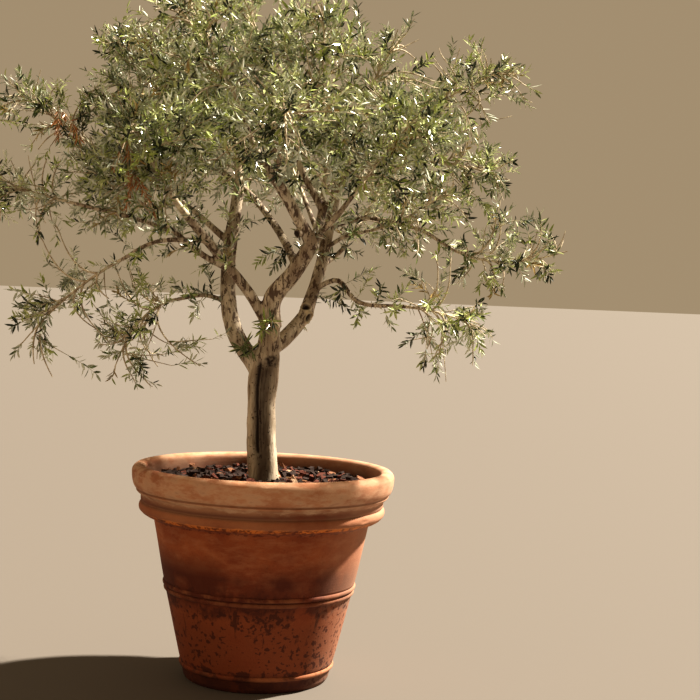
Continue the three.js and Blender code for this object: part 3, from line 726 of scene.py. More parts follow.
LIMB_RINGS, LIMB_SIDES = 40, 16
REMESH_LOSS = 0.7  # what the smoothing takes off a thin limb
STUB = {"foot": (124, -142, 1811), "end": (92, -171, 1795), "radius": 18.0, "rings": 8}
shares = np.linspace(0, 1, LIMB_RINGS)
parts = [trunk_tube()]
for name in LIMBS:
    line, foot, tip = limbs[name]
    radii = limb_radius(foot, tip, shares) + REMESH_LOSS
    parts.append(tubes(spots(line, shares)[None], radii[None], LIMB_SIDES))
stub_line = np.linspace(STUB["foot"], STUB["end"], STUB["rings"])
parts.append(tubes(stub_line[None], np.full((1, STUB["rings"]), STUB["radius"]), LIMB_SIDES))
print(len(parts), "tubes of wood")

# %% [markdown]
# The remesh needs closed tubes, so each gets its two ends filled. After it, the few millimetres of
# steps that the voxels leave are smoothed away, and the forks become soft webs as on a living tree.

# %% Melt the tubes into one skin
VOXEL = 0.0042


def closed_tubes(parts):
    mesh = mesh_of("tubes", *joined(parts), smooth=True)
    work = bmesh.new()
    work.from_mesh(mesh)
    bmesh.ops.holes_fill(work, edges=[e for e in work.edges if e.is_boundary], sides=0)
    work.to_mesh(mesh)
    work.free()
    return mesh


def skin_of(parts, voxel):
    """One closed skin round overlapping closed tubes."""
    rough = bpy.data.objects.new("rough", closed_tubes(parts))
    bpy.context.scene.collection.objects.link(rough)
    remesh = rough.modifiers.new("melt", "REMESH")
    remesh.mode, remesh.voxel_size, remesh.use_smooth_shade = "VOXEL", voxel, True
    relax = rough.modifiers.new("relax", "SMOOTH")
    relax.factor, relax.iterations = 0.5, 2
    evaluated = rough.evaluated_get(bpy.context.evaluated_depsgraph_get())
    skin = bpy.data.meshes.new_from_object(evaluated)
    bpy.data.objects.remove(rough)
    return skin


bark_mesh = skin_of(parts, VOXEL)
bark_mesh.name = "bark"
print("bark skin:", len(bark_mesh.vertices), "points")

# %% [markdown]
# Relief comes in two sizes: broad lumps and hollows a few centimetres long, and shallow ridges a few
# millimetres wide that follow the grain. The grain's direction at each point is that of the nearest
# limb, so the ridges run round every bend.

# %% Lumps and ridges that follow the grain
LUMP_MM, LUMP_DEPTH = 60.0, 3.4
RIDGE_MM, RIDGE_DEPTH, RIDGE_STRETCH, RIDGE_MEAN = 11.0, 1.8, 8.0, 0.25
FRAME_SPACING = 12
FULL_RELIEF, LEAST_RELIEF = 45, 0.2  # a limb thinner than this radius has less, down to this share
RELIEF_ABOVE_SOIL = 12
AT_ONCE = 4000


def limb_frames():
    """Points along all limbs with the direction of the grain and the radius."""
    rows = []
    for line, foot, tip in limbs.values():
        shares = np.linspace(0, 1, math.ceil(length_of(line) / FRAME_SPACING) + 1)
        points, radii = spots(line, shares), limb_radius(foot, tip, shares)
        rows.append(np.column_stack([points, unit(np.gradient(points, axis=0)), radii]))
    return rows


def read(mesh, what):
    values = np.empty(len(mesh.vertices) * 3, np.float32)
    mesh.vertices.foreach_get(what, values)
    return values.reshape(-1, 3).astype(float)


frame_rows = limb_frames()
trunk_frames = len(frame_rows[0])
frames = np.vstack(frame_rows)
points, normals = read(bark_mesh, "co") / MM, read(bark_mesh, "normal")
count = len(points)
nearest = np.empty(count, int)
for start in range(0, count, AT_ONCE):
    gaps = np.linalg.norm(points[start : start + AT_ONCE, None] - frames[None, :, :3], axis=-1)
    nearest[start : start + AT_ONCE] = np.argmin(gaps - frames[:, 6], axis=1)
grain, thickness = frames[nearest, 3:6], frames[nearest, 6]
squeezed = points - grain * (points * grain).sum(-1, keepdims=True) * (1 - 1 / RIDGE_STRETCH)
ridges = RIDGE_DEPTH * (np.abs(noise_at(squeezed, RIDGE_MM)) - RIDGE_MEAN)
relief = LUMP_DEPTH * noise_at(points, LUMP_MM) + ridges
fade_at_soil = np.clip((points[:, 2] - SOIL_LEVEL) / RELIEF_ABOVE_SOIL, 0, 1)
relief *= np.clip(thickness / FULL_RELIEF, LEAST_RELIEF, 1) * fade_at_soil
print("relief from", round(relief.min(), 1), "to", round(relief.max(), 1), "mm")

# %% [markdown]
# Next come the marks that make this tree this tree: a shallow oval scar where a bough was once sawn off,
# painted pale as a patch of sunlight, two knot holes with swollen lips and pale wood between them on the
# right bough, their cores painted dark as shade, a rough dark patch under the fork whose pits are painted
# darker as shade, the dark end of the sawn stub, and three small dark knots lower down. Each mark pushes
# the skin and also leaves a number on every point, `dark_bark_and_shade` for dark bark and painted shade
# and `pale` for bare wood and painted sunlight, which the material reads.

# %% Scars and knots
MARKS = [  # middle, half size across and along the grain, push in the middle, push of the lip, dark bark and shade, pale wood and sunlight
    # a shallow sawn-off scar, painted pale as a patch of sunlight
    ((27, -62, 1405), 15, 34, -3.5, 4.5, 0.0, 1.0),
    # two knot holes, their cores painted dark as shade
    ((144, 68, 1508), 20, 15, -9.0, 6.0, 1.0, 0.0),
    ((160, 62, 1463), 14, 22, -11.0, 7.0, 1.0, 0.0),
    ((152, 58, 1486), 12, 9, 1.5, 3.0, 0.0, 1.0),
    ((90, -172, 1794), 19, 19, -3.0, 0.0, 1.0, 0.0),
    ((-93, -12, 1289), 9, 12, -2.0, 2.5, 0.6, 0.0),
    ((-62, -30, 972), 6, 14, -3.0, 2.0, 0.9, 0.0),
    ((32, -50, 1082), 6, 12, -2.0, 2.0, 0.8, 0.0),
]
CORE_FROM, LIP_AT, LIP_WIDTH = 0.55, 1.12, 0.22  # as shares of a mark's half size
PALE_LIP_FROM, PALE_LIP = 4, 0.7
ROUGH_PATCH = {"middle": (14, -54, 1284), "half": (42, 40, 30), "lumps": 11.0, "push": 6}
PATCH_FROM, PATCH_TO, PATCH_DARK, PATCH_SPREAD = 0.5, 1.1, 0.75, 0.9
FRONT_SHADE = {"bearing": 272, "half": 56, "foot": -90, "head": 520, "fade": 80, "strength": 0.76}  # painted shade on the trunk's front, which faces away from the key light
dark_bark_and_shade, pale = np.zeros(count), np.zeros(count)
for middle, across, along, push, lip, dark, bare in MARKS:
    away = points - np.array(middle, float)
    with_grain = (away * grain).sum(-1)
    beside = np.sqrt(np.maximum(0, (away**2).sum(-1) - with_grain**2))
    far = np.hypot(beside / across, with_grain / along)
    core, rim = 1 - blend_between(far, CORE_FROM, 1.0), np.exp(-(((far - LIP_AT) / LIP_WIDTH) ** 2))
    relief += push * core + lip * rim
    dark_bark_and_shade = np.maximum(dark_bark_and_shade, dark * core)
    pale = np.maximum(pale, np.maximum(bare * core, PALE_LIP * (lip > PALE_LIP_FROM) * rim))
patch_share = np.linalg.norm((points - ROUGH_PATCH["middle"]) / ROUGH_PATCH["half"], axis=1)
rough_patch = 1 - blend_between(patch_share, PATCH_FROM, PATCH_TO)
bumps = noise_at(points, ROUGH_PATCH["lumps"], 3.0)
relief += ROUGH_PATCH["push"] * rough_patch * bumps
# The patch is dark bark, and its pits are painted darker still, as shade.
dark_bark_and_shade = np.maximum(dark_bark_and_shade, rough_patch * np.clip(PATCH_DARK - PATCH_SPREAD * bumps, 0, 1))
centre = points[:, :2] - frames[nearest, :2]
bearing = np.arctan2(centre[:, 1], centre[:, 0])
over_soil = points[:, 2] - SOIL_LEVEL
# The trunk's front, which faces away from the key light, is painted darker as shade.
front_shade = blend_between(np.maximum(0, 1 - off_bearing(bearing, FRONT_SHADE["bearing"]) / FRONT_SHADE["half"]), 0, 0.8)
front_shade = FRONT_SHADE["strength"] * front_shade * held_between(over_soil, FRONT_SHADE["foot"], FRONT_SHADE["head"], FRONT_SHADE["fade"])
on_trunk = nearest < trunk_frames
# painted shade in the cracks and on the trunk's front
for dark in (crack_depths(over_soil, bearing)[1], front_shade):
    dark_bark_and_shade = np.maximum(dark_bark_and_shade, np.where(on_trunk, dark, 0))
points += normals * relief[:, None]
bark_mesh.vertices.foreach_set("co", (points * MM).astype(np.float32).ravel())
for name, values in (("dark_bark_and_shade", dark_bark_and_shade), ("pale", pale)):
    bark_mesh.attributes.new(name, "FLOAT", "POINT").data.foreach_set("value", values.astype(np.float32))
bark_mesh.update()
print("dark points:", int((dark_bark_and_shade > 0.5).sum()), "pale points:", int((pale > 0.5).sum()))

# %% [markdown]
# The bark's colour is a cloudy cream and grey-beige. Over it lie faint streaks about a centimetre wide
# that follow the trunk, brown blotches of 2 cm, which grow denser up the boughs, and dark scars of
# 5 mm in about half the cells of a cell pattern. Each noise has a real size: that of its lumps, in
# millimetres. A factor below 1 on the height draws them out along the trunk, as the grain does. Bark is
# cork, so it is dry and dull: the eye sees no glint on it, only light and shade.

# %% Bark material
BARK_PATTERNS = {  # factor on the height, size in millimetres, detail, roughness
    "cloud": (0.35, 58.82, 5.0, 0.6),
    "streak": (0.10, 9.091, 5.0, 0.65),
    "blotch": (0.35, 17.857, 5.0, 0.65),
}
CLOUD_SPAN, STREAK_SPAN, STREAK_STRENGTH = (0.36, 0.64), (0.36, 0.50), 0.55
BLOTCH_HEIGHTS, BLOTCH_LEAST = (1.15, 1.50), (0.62, 0.51)  # metres up, and what makes a blotch there
BLOTCH_EDGE, BLOTCH_STRENGTH = 0.035, 0.85
SCAR_SPACING, SCAR_EDGE, SCAR_DRAW, SCAR_STRENGTH = 17.857, (0.13, 0.24), (0.48, 0.52), 0.9
SCAR_HEIGHT = 1.5
BARK_BUMP = (0.5, 0.0025)

bark, t, shader, place = finish("smooth_olive_bark", 0.82)
patterns = {}
for name, (on_height, size, detail, roughness) in BARK_PATTERNS.items():
    drawn_out = add(t, "ShaderNodeMapping", {"Vector": place, "Scale": (1.0, 1.0, on_height)})
    settings = {"Vector": drawn_out, "Scale": 1 / (size * MM), "Detail": detail, "Roughness": roughness}
    patterns[name] = add(t, "ShaderNodeTexNoise", settings)

height = add(t, "ShaderNodeSeparateXYZ", {0: place}, "Z")
span = {0: patterns["cloud"], 1: CLOUD_SPAN[0], 2: CLOUD_SPAN[1]}
cloud = add(t, "ShaderNodeMapRange", span, interpolation_type="SMOOTHSTEP")
span = {0: patterns["streak"], 1: STREAK_SPAN[0], 2: STREAK_SPAN[1], 3: STREAK_STRENGTH, 4: 0.0}
streak = add(t, "ShaderNodeMapRange", span)
span = {0: height, 1: BLOTCH_HEIGHTS[0], 2: BLOTCH_HEIGHTS[1], 3: BLOTCH_LEAST[0], 4: BLOTCH_LEAST[1]}
blotch_least = add(t, "ShaderNodeMapRange", span)
blotch_over = add(t, "ShaderNodeMath", {0: patterns["blotch"], 1: blotch_least}, operation="SUBTRACT")
blotch = add(t, "ShaderNodeMapRange", {0: blotch_over, 1: 0.0, 2: BLOTCH_EDGE, 3: 0.0, 4: BLOTCH_STRENGTH})
flattened = add(t, "ShaderNodeMapping", {"Vector": place, "Scale": (1.0, 1.0, SCAR_HEIGHT)})
settings = {"Vector": flattened, "Scale": 1 / (SCAR_SPACING * MM), "Randomness": 1.0}
cell = add(t, "ShaderNodeTexVoronoi", settings, "Distance")
dot = add(t, "ShaderNodeMapRange", {0: cell, 1: SCAR_EDGE[0], 2: SCAR_EDGE[1], 3: 1.0, 4: 0.0})
draw = add(t, "ShaderNodeSeparateColor", {0: cell.node.outputs["Color"]})
picked = add(t, "ShaderNodeMapRange", {0: draw, 1: SCAR_DRAW[0], 2: SCAR_DRAW[1], 3: 0.0, 4: SCAR_STRENGTH})
scars = add(t, "ShaderNodeMath", {0: dot, 1: picked}, operation="MULTIPLY")
pale_wood_and_sunlight = add(t, "ShaderNodeAttribute", {}, "Fac", attribute_name="pale")
dark_bark_and_shade_mask = add(t, "ShaderNodeAttribute", {}, "Fac", attribute_name="dark_bark_and_shade")
# The last two layers read the numbers left on the skin: pale wood with a patch of painted sunlight, and dark
# bark with painted shade in the cracks, the knot holes, the pits of the rough patch and on the trunk's front.
BARK_LAYERS = [
    (cloud, "#d2c4ae"),
    (streak, "#6d5846"),
    (blotch, "#4a3225"),
    (scars, "#33241a"),
    (pale_wood_and_sunlight, "#d9c6a6"),
    (dark_bark_and_shade_mask, "#26160d"),
]
tone = shade("#988672")
for mask, colour in BARK_LAYERS:
    tone = add(t, "ShaderNodeMix", {0: mask, 6: tone, 7: shade(colour)}, 2, data_type="RGBA")
sunk = add(t, "ShaderNodeMath", {0: patterns["streak"], 1: scars}, operation="SUBTRACT")
coat(t, shader, tone, sunk, *BARK_BUMP)
piece(bark_mesh, [bark], replaced=limbs)

# %% [markdown]
# ## Stems, twigs and shoots
#
# The thin wood is too slim for the remesh, so it stays as plain tapered tubes. Twigs are pale grey
# and cream like the boughs and catch the light inside the crown, and the green-grey shoots of the year
# carry the leaves. Their skin is two near tones in small patches, and so are leaves and mulch later on,
# because nothing that grows has one even colour. The patches are 16 and 22 mm wide.

# %% Finishes of the thin wood


def two_tone(name, roughness, dark, light, patch, detail, edge, bump=None):
    material, tree, shader, place = finish(name, roughness)
    mottle = add(tree, "ShaderNodeTexNoise", {"Vector": place, "Scale": 1 / (patch * MM), "Detail": detail})
    part = add(tree, "ShaderNodeMapRange", {0: mottle, 1: 0.5 - edge, 2: 0.5 + edge})
    tone = add(tree, "ShaderNodeMix", {0: part, 6: shade(dark), 7: shade(light)}, 2, data_type="RGBA")
    if bump:
        coat(tree, shader, tone, mottle, *bump)
    else:
        tree.links.new(tone, shader.inputs["Base Color"])
    return material


WOOD_BUMP = (0.4, 0.001)
twig_wood = two_tone("olive_twig_bark", 0.75, "#9c8972", "#ddd0b6", 22, 4.0, 0.12, WOOD_BUMP)
young_wood = two_tone("olive_shoot_skin", 0.6, "#8f8a63", "#c5b98e", 16, 4.0, 0.12, WOOD_BUMP)
print("finishes of thin wood:", twig_wood.name, "and", young_wood.name)

# %% Thin wood
STEM_FIT, STEM_TIP = 0.96, 2.2
TWIG_RADII, SIDE_TWIG_RADII, SHOOT_RADII, BARE_RADII = (5.0, 2.0), (2.7, 1.3), (1.3, 0.5), (3.4, 1.4)
BARE_STEPS = 8


def tapered(lines, radii, sides):
    taper = np.linspace(radii[0], radii[1], lines.shape[1])
    return tubes(lines, np.broadcast_to(taper, lines.shape[:2]), sides)


stem_array = np.array(stem_lines)
feet = STEM_FIT * np.array(stem_feet)[:, None]
taper = np.linspace(0, 1, stem_array.shape[1]) ** 0.8
bare_curves = hand_curves[np.isin(hand_kinds, ["bare", "dead"])]
leafy_curves = np.concatenate([shoots, along_limbs, hand_curves[hand_kinds != "bare"]])
shoot_array = drawn(leafy_curves, SHOOT_STEPS)
wood_parts = [
    tubes(stem_array, feet + (STEM_TIP - feet) * taper, 8),
    tapered(np.array(twig_lines), TWIG_RADII, 5),
    tapered(drawn(side_twigs, SIDE_TWIG_STEPS), SIDE_TWIG_RADII, 4),
    tapered(drawn(bare_curves, BARE_STEPS), BARE_RADII, 5),
]
piece(mesh_of("twigs", *joined(wood_parts), smooth=True), [twig_wood])
piece(mesh_of("shoots", *tapered(shoot_array, SHOOT_RADII, 3), smooth=True), [young_wood])

# %% [markdown]
# ## Leaves
#
# An olive leaf is narrow, here mostly 2 to 5 cm long and a quarter as wide or less, leathery, and folded
# a little along its midrib. Above it is a dull grey-green with a waxy cuticle that glints in the sun, and
# below it is felted with tiny silvery scales. Each leaf is a thin closed body of twelve faces: the upper and
# the lower faces have finishes of their own, so the crown flickers between green and silver. Leaves
# stand in opposite pairs, each pair turned a right angle from the last.

# %% Place the leaves along the shoots
PAIR_SPACING = 11.8
LEAST_PAIRS, FIRST_PAIR, LAST_PAIR = {"tuft": 7, "shoot": 3}, {"tuft": 0.45, "shoot": 0.14}, 0.99
LEAF_LENGTH = (30.0, 54.0)
LEAF_OPENING = {"tuft": (45.0, 100.0), "shoot": (30.0, 66.0)}
TUFT_SIZE = 1.35
END_LEAF, MIDDLE_LEAF_GAIN = 0.72, 0.28  # leaves are largest in the middle of a shoot
TIP_FROM, TIP_OPENING = 0.95, 0.45  # the last pair closes over the bud
UNEVEN_BEARING, UNEVEN_WAY, UNEVEN_FACING = 0.3, 0.24, 0.5
DEAD_HANG, LIVE_HANG = 0.5, 0.05
LEAF_LOSS = 0.06
LEAVES_AT_ONCE = 2000

kinds = np.concatenate([np.full(len(shoots) + len(along_limbs), "grown"), hand_kinds[hand_kinds != "bare"]])
roots, ways, axes, sizes, owners, along_shoot = [], [], [], [], [], []
for i, line in enumerate(shoot_array):
    kind = "tuft" if kinds[i] == "tuft" else "shoot"
    pairs = max(LEAST_PAIRS[kind], int(length_of(line) / PAIR_SPACING))
    shares = np.linspace(FIRST_PAIR[kind], LAST_PAIR, pairs)
    axis = unit(spots(line, np.minimum(shares + 0.05, 1)) - spots(line, shares - 0.05))
    turned = rng.uniform(0, np.pi) + np.arange(pairs) * np.pi / 2
    shape = END_LEAF + MIDDLE_LEAF_GAIN * np.sin(np.pi * np.clip(shares, 0.1, 0.9))
    shape = shape * (TUFT_SIZE if kind == "tuft" else 1)
    closing = np.where(shares > TIP_FROM, TIP_OPENING, 1)
    for side in (0, np.pi):
        bearing = turned + side + rng.normal(0, UNEVEN_BEARING, pairs)
        opening = np.radians(rng.uniform(*LEAF_OPENING[kind], pairs)) * closing
        roots.append(spots(line, shares))
        ways.append(around(axis, opening, bearing))
        axes.append(axis)
        sizes.append(rng.uniform(*LEAF_LENGTH, pairs) * shape)
        owners.append(np.full(pairs, i))
        along_shoot.append(shares)
roots, ways, axes = np.vstack(roots), np.vstack(ways), np.vstack(axes)
sizes, owners, along_shoot = (np.concatenate(v) for v in (sizes, owners, along_shoot))
dead = kinds[owners] == "dead"
ways = unit(ways + rng.normal(0, UNEVEN_WAY, ways.shape) - UP * np.where(dead, DEAD_HANG, LIVE_HANG)[:, None])
facing = axes - ways * (axes * ways).sum(-1, keepdims=True)
facing = unit(facing) + UP * 0.5 + rng.normal(0, UNEVEN_FACING, facing.shape)
facing = unit(facing - ways * (facing * ways).sum(-1, keepdims=True))
tips = roots + ways * sizes[:, None]
kept = np.all((tips > box_low - LEAF_SLACK) & (tips < box_high + LEAF_SLACK), axis=1)
kept &= rng.random(len(tips)) > LEAF_LOSS
for start in range(0, len(roots), LEAVES_AT_ONCE):
    part = slice(start, start + LEAVES_AT_ONCE)
    kept[part] &= ~near_limb(roots[part] + ways[part] * sizes[part, None] * 0.5, 0)
leaf_arrays = (roots, ways, facing, sizes, owners, along_shoot, dead)
roots, ways, facing, sizes, owners, along_shoot, dead = (v[kept] for v in leaf_arrays)
print(len(roots), "leaves, mean length", round(sizes.mean(), 1), "mm, longest", round(sizes.max(), 1), "mm")

# %% [markdown]
# The outline of a leaf is drawn once, as shares of its length and width, and stretched to every place.
# The two halves rise a little from the midrib, and the blade bows back towards its tip.

# %% Leaf mesh
OUTLINE = np.array([  # along, across, up
    [0.00, 0.00, 0.00],
    [0.30, -0.45, 0.035],
    [0.68, -0.40, 0.035],
    [1.00, 0.00, 0.00],
    [0.68, 0.40, 0.035],
    [0.30, 0.45, 0.035],
    [0.48, 0.00, 0.006],
    [0.48, 0.00, -0.014],
])
AROUND_EDGE = [(i, (i + 1) % 6) for i in range(6)]
UPPER = [(6, a, b) for a, b in AROUND_EDGE]
LOWER = [(7, b, a) for a, b in AROUND_EDGE]
LEAF_FACES = np.array(UPPER + LOWER)


def leaf_points(roots, ways, facing, sizes, widths, bows):
    side = np.cross(facing, ways)
    along, across, rise = OUTLINE[:, 0], OUTLINE[:, 1], OUTLINE[:, 2]
    lift = rise[None] - bows[:, None] * along[None] ** 2
    return (
        roots[:, None]
        + ways[:, None] * (along[None] * sizes[:, None])[..., None]
        + side[:, None] * (across[None] * (widths * sizes)[:, None])[..., None]
        + facing[:, None] * (lift * sizes[:, None])[..., None]
    )


print(len(LEAF_FACES), "faces in a leaf")

# %% [markdown]
# Leaf colours: shaded leaves are a deep grey-green, mature ones lighter, sunlit ones olive, the year's
# leaves near a shoot's tip a bright yellow-green, and a few hanging sprays on the left have dried to
# rust. Each spray takes one of a few plain tones, some stray leaves in it are darker or lighter, and a
# fine noise in each finish breaks it up, as no two leaves are alike.

# %% Leaf materials
LEAF_TONES = [  # upper dark, upper light, under dark, under light
    ("deep", "#1b2413", "#38432a", "#7d8670", "#adb39f"),
    ("mature", "#4c5a3a", "#84905e", "#a4ab94", "#dee1d3"),
    ("sunlit", "#8e9a60", "#ccd49a", "#cbd0ba", "#eff1e4"),
    ("young", "#86964a", "#aebb68", "#b0ba86", "#d2d8ac"),
    ("dry", "#7d6a3c", "#a8905a", "#9c8a60", "#c4b184"),
    ("dead", "#8e5d3a", "#c68f60", "#a0724c", "#cfa274"),
]
leaf_materials = []
for tone, upper_dark, upper_light, under_dark, under_light in LEAF_TONES:
    leaf_materials.append(two_tone(f"{tone}_leaf_cuticle", 0.26, upper_dark, upper_light, 18, 2.0, 0.15))
    leaf_materials.append(two_tone(f"{tone}_leaf_felt", 0.55, under_dark, under_light, 14, 2.0, 0.15))
print(len(leaf_materials), "finishes of leaves")

# %% [markdown]
# The tones are dealt out by drawing lots, shoot by shoot and then leaf by leaf, from the same seeded row
# as all the growth, so the tree comes out the same each time. The leaves are then parted from left to
# right into a few pieces, because one mesh of them all would be slow to work with.

# %% Deal out the tones and make the leaf pieces
DEEP, MATURE, SUNLIT, YOUNG, DRY, DEAD = range(6)
TONES_GROWN, SHARES_GROWN = [DEEP, MATURE, SUNLIT, DRY], [0.26, 0.34, 0.36, 0.04]
YOUNG_SHOOTS, YOUNG_FROM, STRAY_LEAVES = 0.32, 0.7, 0.3
LEAF_WIDTH, UNEVEN_WIDTH, TUFT_SLIMNESS, DEAD_SLIMNESS = 0.25, (0.8, 1.15), 0.6, 0.85
BOW, UNEVEN_BOW = 0.05, 0.06
LEAVES_IN_PIECE = 16000

tone_of_shoot = rng.choice(TONES_GROWN, len(shoot_array), p=SHARES_GROWN)
tone_of_shoot[kinds == "tuft"] = MATURE
tone_of_shoot[kinds == "leafy"] = DEEP
young_shoot = rng.random(len(shoot_array)) < YOUNG_SHOOTS
tone = np.where(young_shoot[owners] & (along_shoot > YOUNG_FROM), YOUNG, tone_of_shoot[owners])
stray = rng.random(len(roots)) < STRAY_LEAVES
tone = np.where(stray, rng.choice([DEEP, SUNLIT], len(roots)), tone)
tone = np.where(dead, DEAD, tone)
slim = np.where(dead, DEAD_SLIMNESS, np.where(kinds[owners] == "tuft", TUFT_SLIMNESS, 1))
widths = LEAF_WIDTH * rng.uniform(*UNEVEN_WIDTH, len(roots)) * slim
bows = rng.normal(BOW, UNEVEN_BOW, len(roots))
all_points = leaf_points(roots, ways, facing, sizes, widths, bows)

order = np.argsort(roots[:, 0])
groups = np.array_split(order, math.ceil(len(order) / LEAVES_IN_PIECE))
mass_nodes = [f"foliage_{name}" for name in MASSES]
for i, group in enumerate(groups):
    faces = copies(LEAF_FACES, len(group), len(OUTLINE))
    mesh = mesh_of(f"leaves_{i + 1}", all_points[group], faces)
    under = np.tile([0] * len(UPPER) + [1] * len(LOWER), len(group))
    material_index = np.repeat(tone[group] * 2, len(LEAF_FACES)) + under
    piece(mesh, leaf_materials, replaced=mass_nodes[i :: len(groups)])
    mesh.polygons.foreach_set("material_index", material_index.astype(np.int32))

# %% [markdown]
# ## The pot
#
# The pot is fired terracotta, thrown in sections and finished on a wheel: a rolled rim over a groove, a
# torus on a hollow cove, two beads round the belly and one at the foot. A lathe profile spun round the
# axis is the natural way to model it, as the potter's ribs did the same. Its sizes are those of the CAD
# part, with finer mouldings, many more sides and the unevenness that a hand-made pot always has.

# %% Pot profile and mesh
POT_TURNS = 220
BODY_TOP, BODY_FOOT, BODY_END, BODY_SWELL, BODY_STEP = 436, 292, 641, 6, 6.5
BEAD_HEIGHTS, BEAD_STANDS, BEAD_HALF = (60, 363.5, 384.5), 7, 9
FOOT_ROUND, FLOOR_MIDDLE = 10, 150
COVE = [[436, 641], [441, 645], [452, 649.5], [470, 657], [482, 664.5], [488.5, 671]]
TORUS = (484, 690, 13, 19.5, -62, 80, 11)  # radius, height, half width and height, angles, steps
NECK = [[486, 711], [489.5, 714], [490.5, 725], [489.5, 735.6], [493, 740], [498, 743], [507, 751]]
INCISED = [[509.5, 754], [510.5, 757], [508, 759.5], [510.5, 762]]
RIM_FACE = (508, 828, 22, 64, -78, -6, 10)
ROLL = (500, 829, 30, 28, 0, 172, 18)
INNER_WALL = [[467, 812], [463, 780], [459, 756], [455, 740]]


def body_radius(height):
    share = np.asarray(height, float) / BODY_END
    return BODY_FOOT + (BODY_TOP - BODY_FOOT) * share + BODY_SWELL * np.sin(np.pi * share)


def arc(x, y, rx, ry, start, end, steps):
    a = np.radians(np.linspace(start, end, steps + 1))
    return np.column_stack([x + rx * np.cos(a), y + ry * np.sin(a)])


def pot_profile():
    heights = np.arange(12, BODY_END, BODY_STEP)
    body = np.column_stack([body_radius(heights), heights])
    clear = np.all([np.abs(heights - h) > BEAD_HALF + 1 for h in BEAD_HEIGHTS], axis=0)
    beads = [arc(body_radius(h), h, BEAD_STANDS, BEAD_HALF, -90, 90, 10) for h in BEAD_HEIGHTS]
    body = np.vstack([body[clear], *beads])
    flat_foot = BODY_FOOT - FOOT_ROUND
    return np.vstack([
        [[0, 0], [FLOOR_MIDDLE, 0], [flat_foot, 0]],
        arc(flat_foot, FOOT_ROUND, FOOT_ROUND, FOOT_ROUND, -70, -5, 4),
        body[np.argsort(body[:, 1], kind="stable")],
        COVE,
        arc(*TORUS),
        NECK,
        INCISED,
        arc(*RIM_FACE),
        arc(*ROLL),
        INNER_WALL,
    ])


profile = pot_profile()
cosine, sine = around_axis(POT_TURNS)
upright = np.broadcast_to(profile[:, None, 1], (len(profile), POT_TURNS))
pot_points = np.stack([profile[:, None, 0] * cosine, profile[:, None, 0] * sine, upright], axis=-1)
print("pot profile:", len(profile), "points, widest", profile[:, 0].max(), "mm")

# %% [markdown]
# Hand-made clay is never quite true. The wall wanders in and out by a couple of millimetres over a hand's
# breadth, and the rim and torus have lost small chips, so each point is moved by a noise. The foot
# stays flat.

# %% Unevenness and chips
CHIP_MM, CHIP_DEPTH, CHIP_FROM, CHIP_FLATTER = 26.0, 13.0, 0.36, 1.6
CHIP_DROP = 0.4  # share of its depth by which a chip also lowers the edge
WANDER_MM, WANDER = 170.0, 1.8
CHIPPED = [(850, 14, 505), (757, 8, 495), (690, 16, 488)]  # height, half height, least radius

flat = pot_points.reshape(-1, 3)
radius = np.hypot(flat[:, 0], flat[:, 1])
wander = WANDER * noise_at(flat, WANDER_MM)
chip = np.maximum(0, noise_at(flat * [1, 1, CHIP_FLATTER], CHIP_MM, 7.0) - CHIP_FROM)
edges = [np.maximum(0, 1 - np.abs(flat[:, 2] - h) / half) * (radius > least) for h, half, least in CHIPPED]
worn = CHIP_DEPTH * chip * np.max(edges, axis=0)
moves = (radius > 1) & (flat[:, 2] > 1)
scale = np.where(moves, (radius + wander - worn) / np.maximum(radius, 1), 1)
flat = flat * np.stack([scale, scale, np.ones(len(scale))], axis=1)
flat[:, 2] -= CHIP_DROP * worn
pot_mesh = mesh_of("pot_body", flat, ring_faces(len(profile), POT_TURNS), smooth=True)
print("deepest chip:", round(worn.max(), 1), "mm")

# %% [markdown]
# Terracotta is iron-rich clay fired without a glaze: matte, warm orange-brown, and nearly red-brown where
# the damp of the soil sits in it. Years outdoors leave a dark band above the beads, drips and groups of
# specks below them, an orange line under the torus, and a pale bloom of salts and lime on the rim,
# which is driest and brushed by hands and water. The groove under the rim and the incised ring are
# painted darker as shade.

# %% Terracotta: the fired clay
CLAY_PATTERNS = {  # factor on the height, size in millimetres, detail, roughness
    "cloud": (1.0, 200.0, 5.0, 0.6),
    "fine": (1.0, 7.143, 5.0, 0.7),
    "drip": (0.14, 33.333, 5.0, 0.6),
    "smear": (1.0, 71.43, 7.0, 0.66),
    "specks": (1.0, 18.182, 3.0, 0.5),
    "brushed": (2.6, 76.92, 7.0, 0.66),
}
CLOUD_SPAN, GRIT_SPAN, GRIT_STRENGTH = (0.36, 0.66), (0.34, 0.46), 0.4
GATHER = 0.8  # weight of the cloud, so that specks gather where it is dense

clay, t, shader, place = finish("weathered_terracotta", 0.88)
patterns = {}
for name, (on_height, size, detail, roughness) in CLAY_PATTERNS.items():
    drawn_out = add(t, "ShaderNodeMapping", {"Vector": place, "Scale": (1.0, 1.0, on_height)})
    settings = {"Vector": drawn_out, "Scale": 1 / (size * MM), "Detail": detail, "Roughness": roughness}
    patterns[name] = add(t, "ShaderNodeTexNoise", settings)

cloud, specks = patterns["cloud"], patterns["specks"]
patterns["gathered"] = add(t, "ShaderNodeMath", {0: cloud, 1: GATHER, 2: specks}, operation="MULTIPLY_ADD")
height = add(t, "ShaderNodeSeparateXYZ", {0: place}, "Z")
clouded = add(t, "ShaderNodeMapRange", {0: cloud, 1: CLOUD_SPAN[0], 2: CLOUD_SPAN[1]})
span = {0: patterns["fine"], 1: GRIT_SPAN[0], 2: GRIT_SPAN[1], 3: GRIT_STRENGTH, 4: 0.0}
gritty = add(t, "ShaderNodeMapRange", span)
tone = shade("#843f1f")
for mask, colour in [(clouded, "#a45b33"), (gritty, "#6b3318")]:
    tone = add(t, "ShaderNodeMix", {0: mask, 6: tone, 7: shade(colour)}, 2, data_type="RGBA")
print(len(patterns), "patterns for the clay")

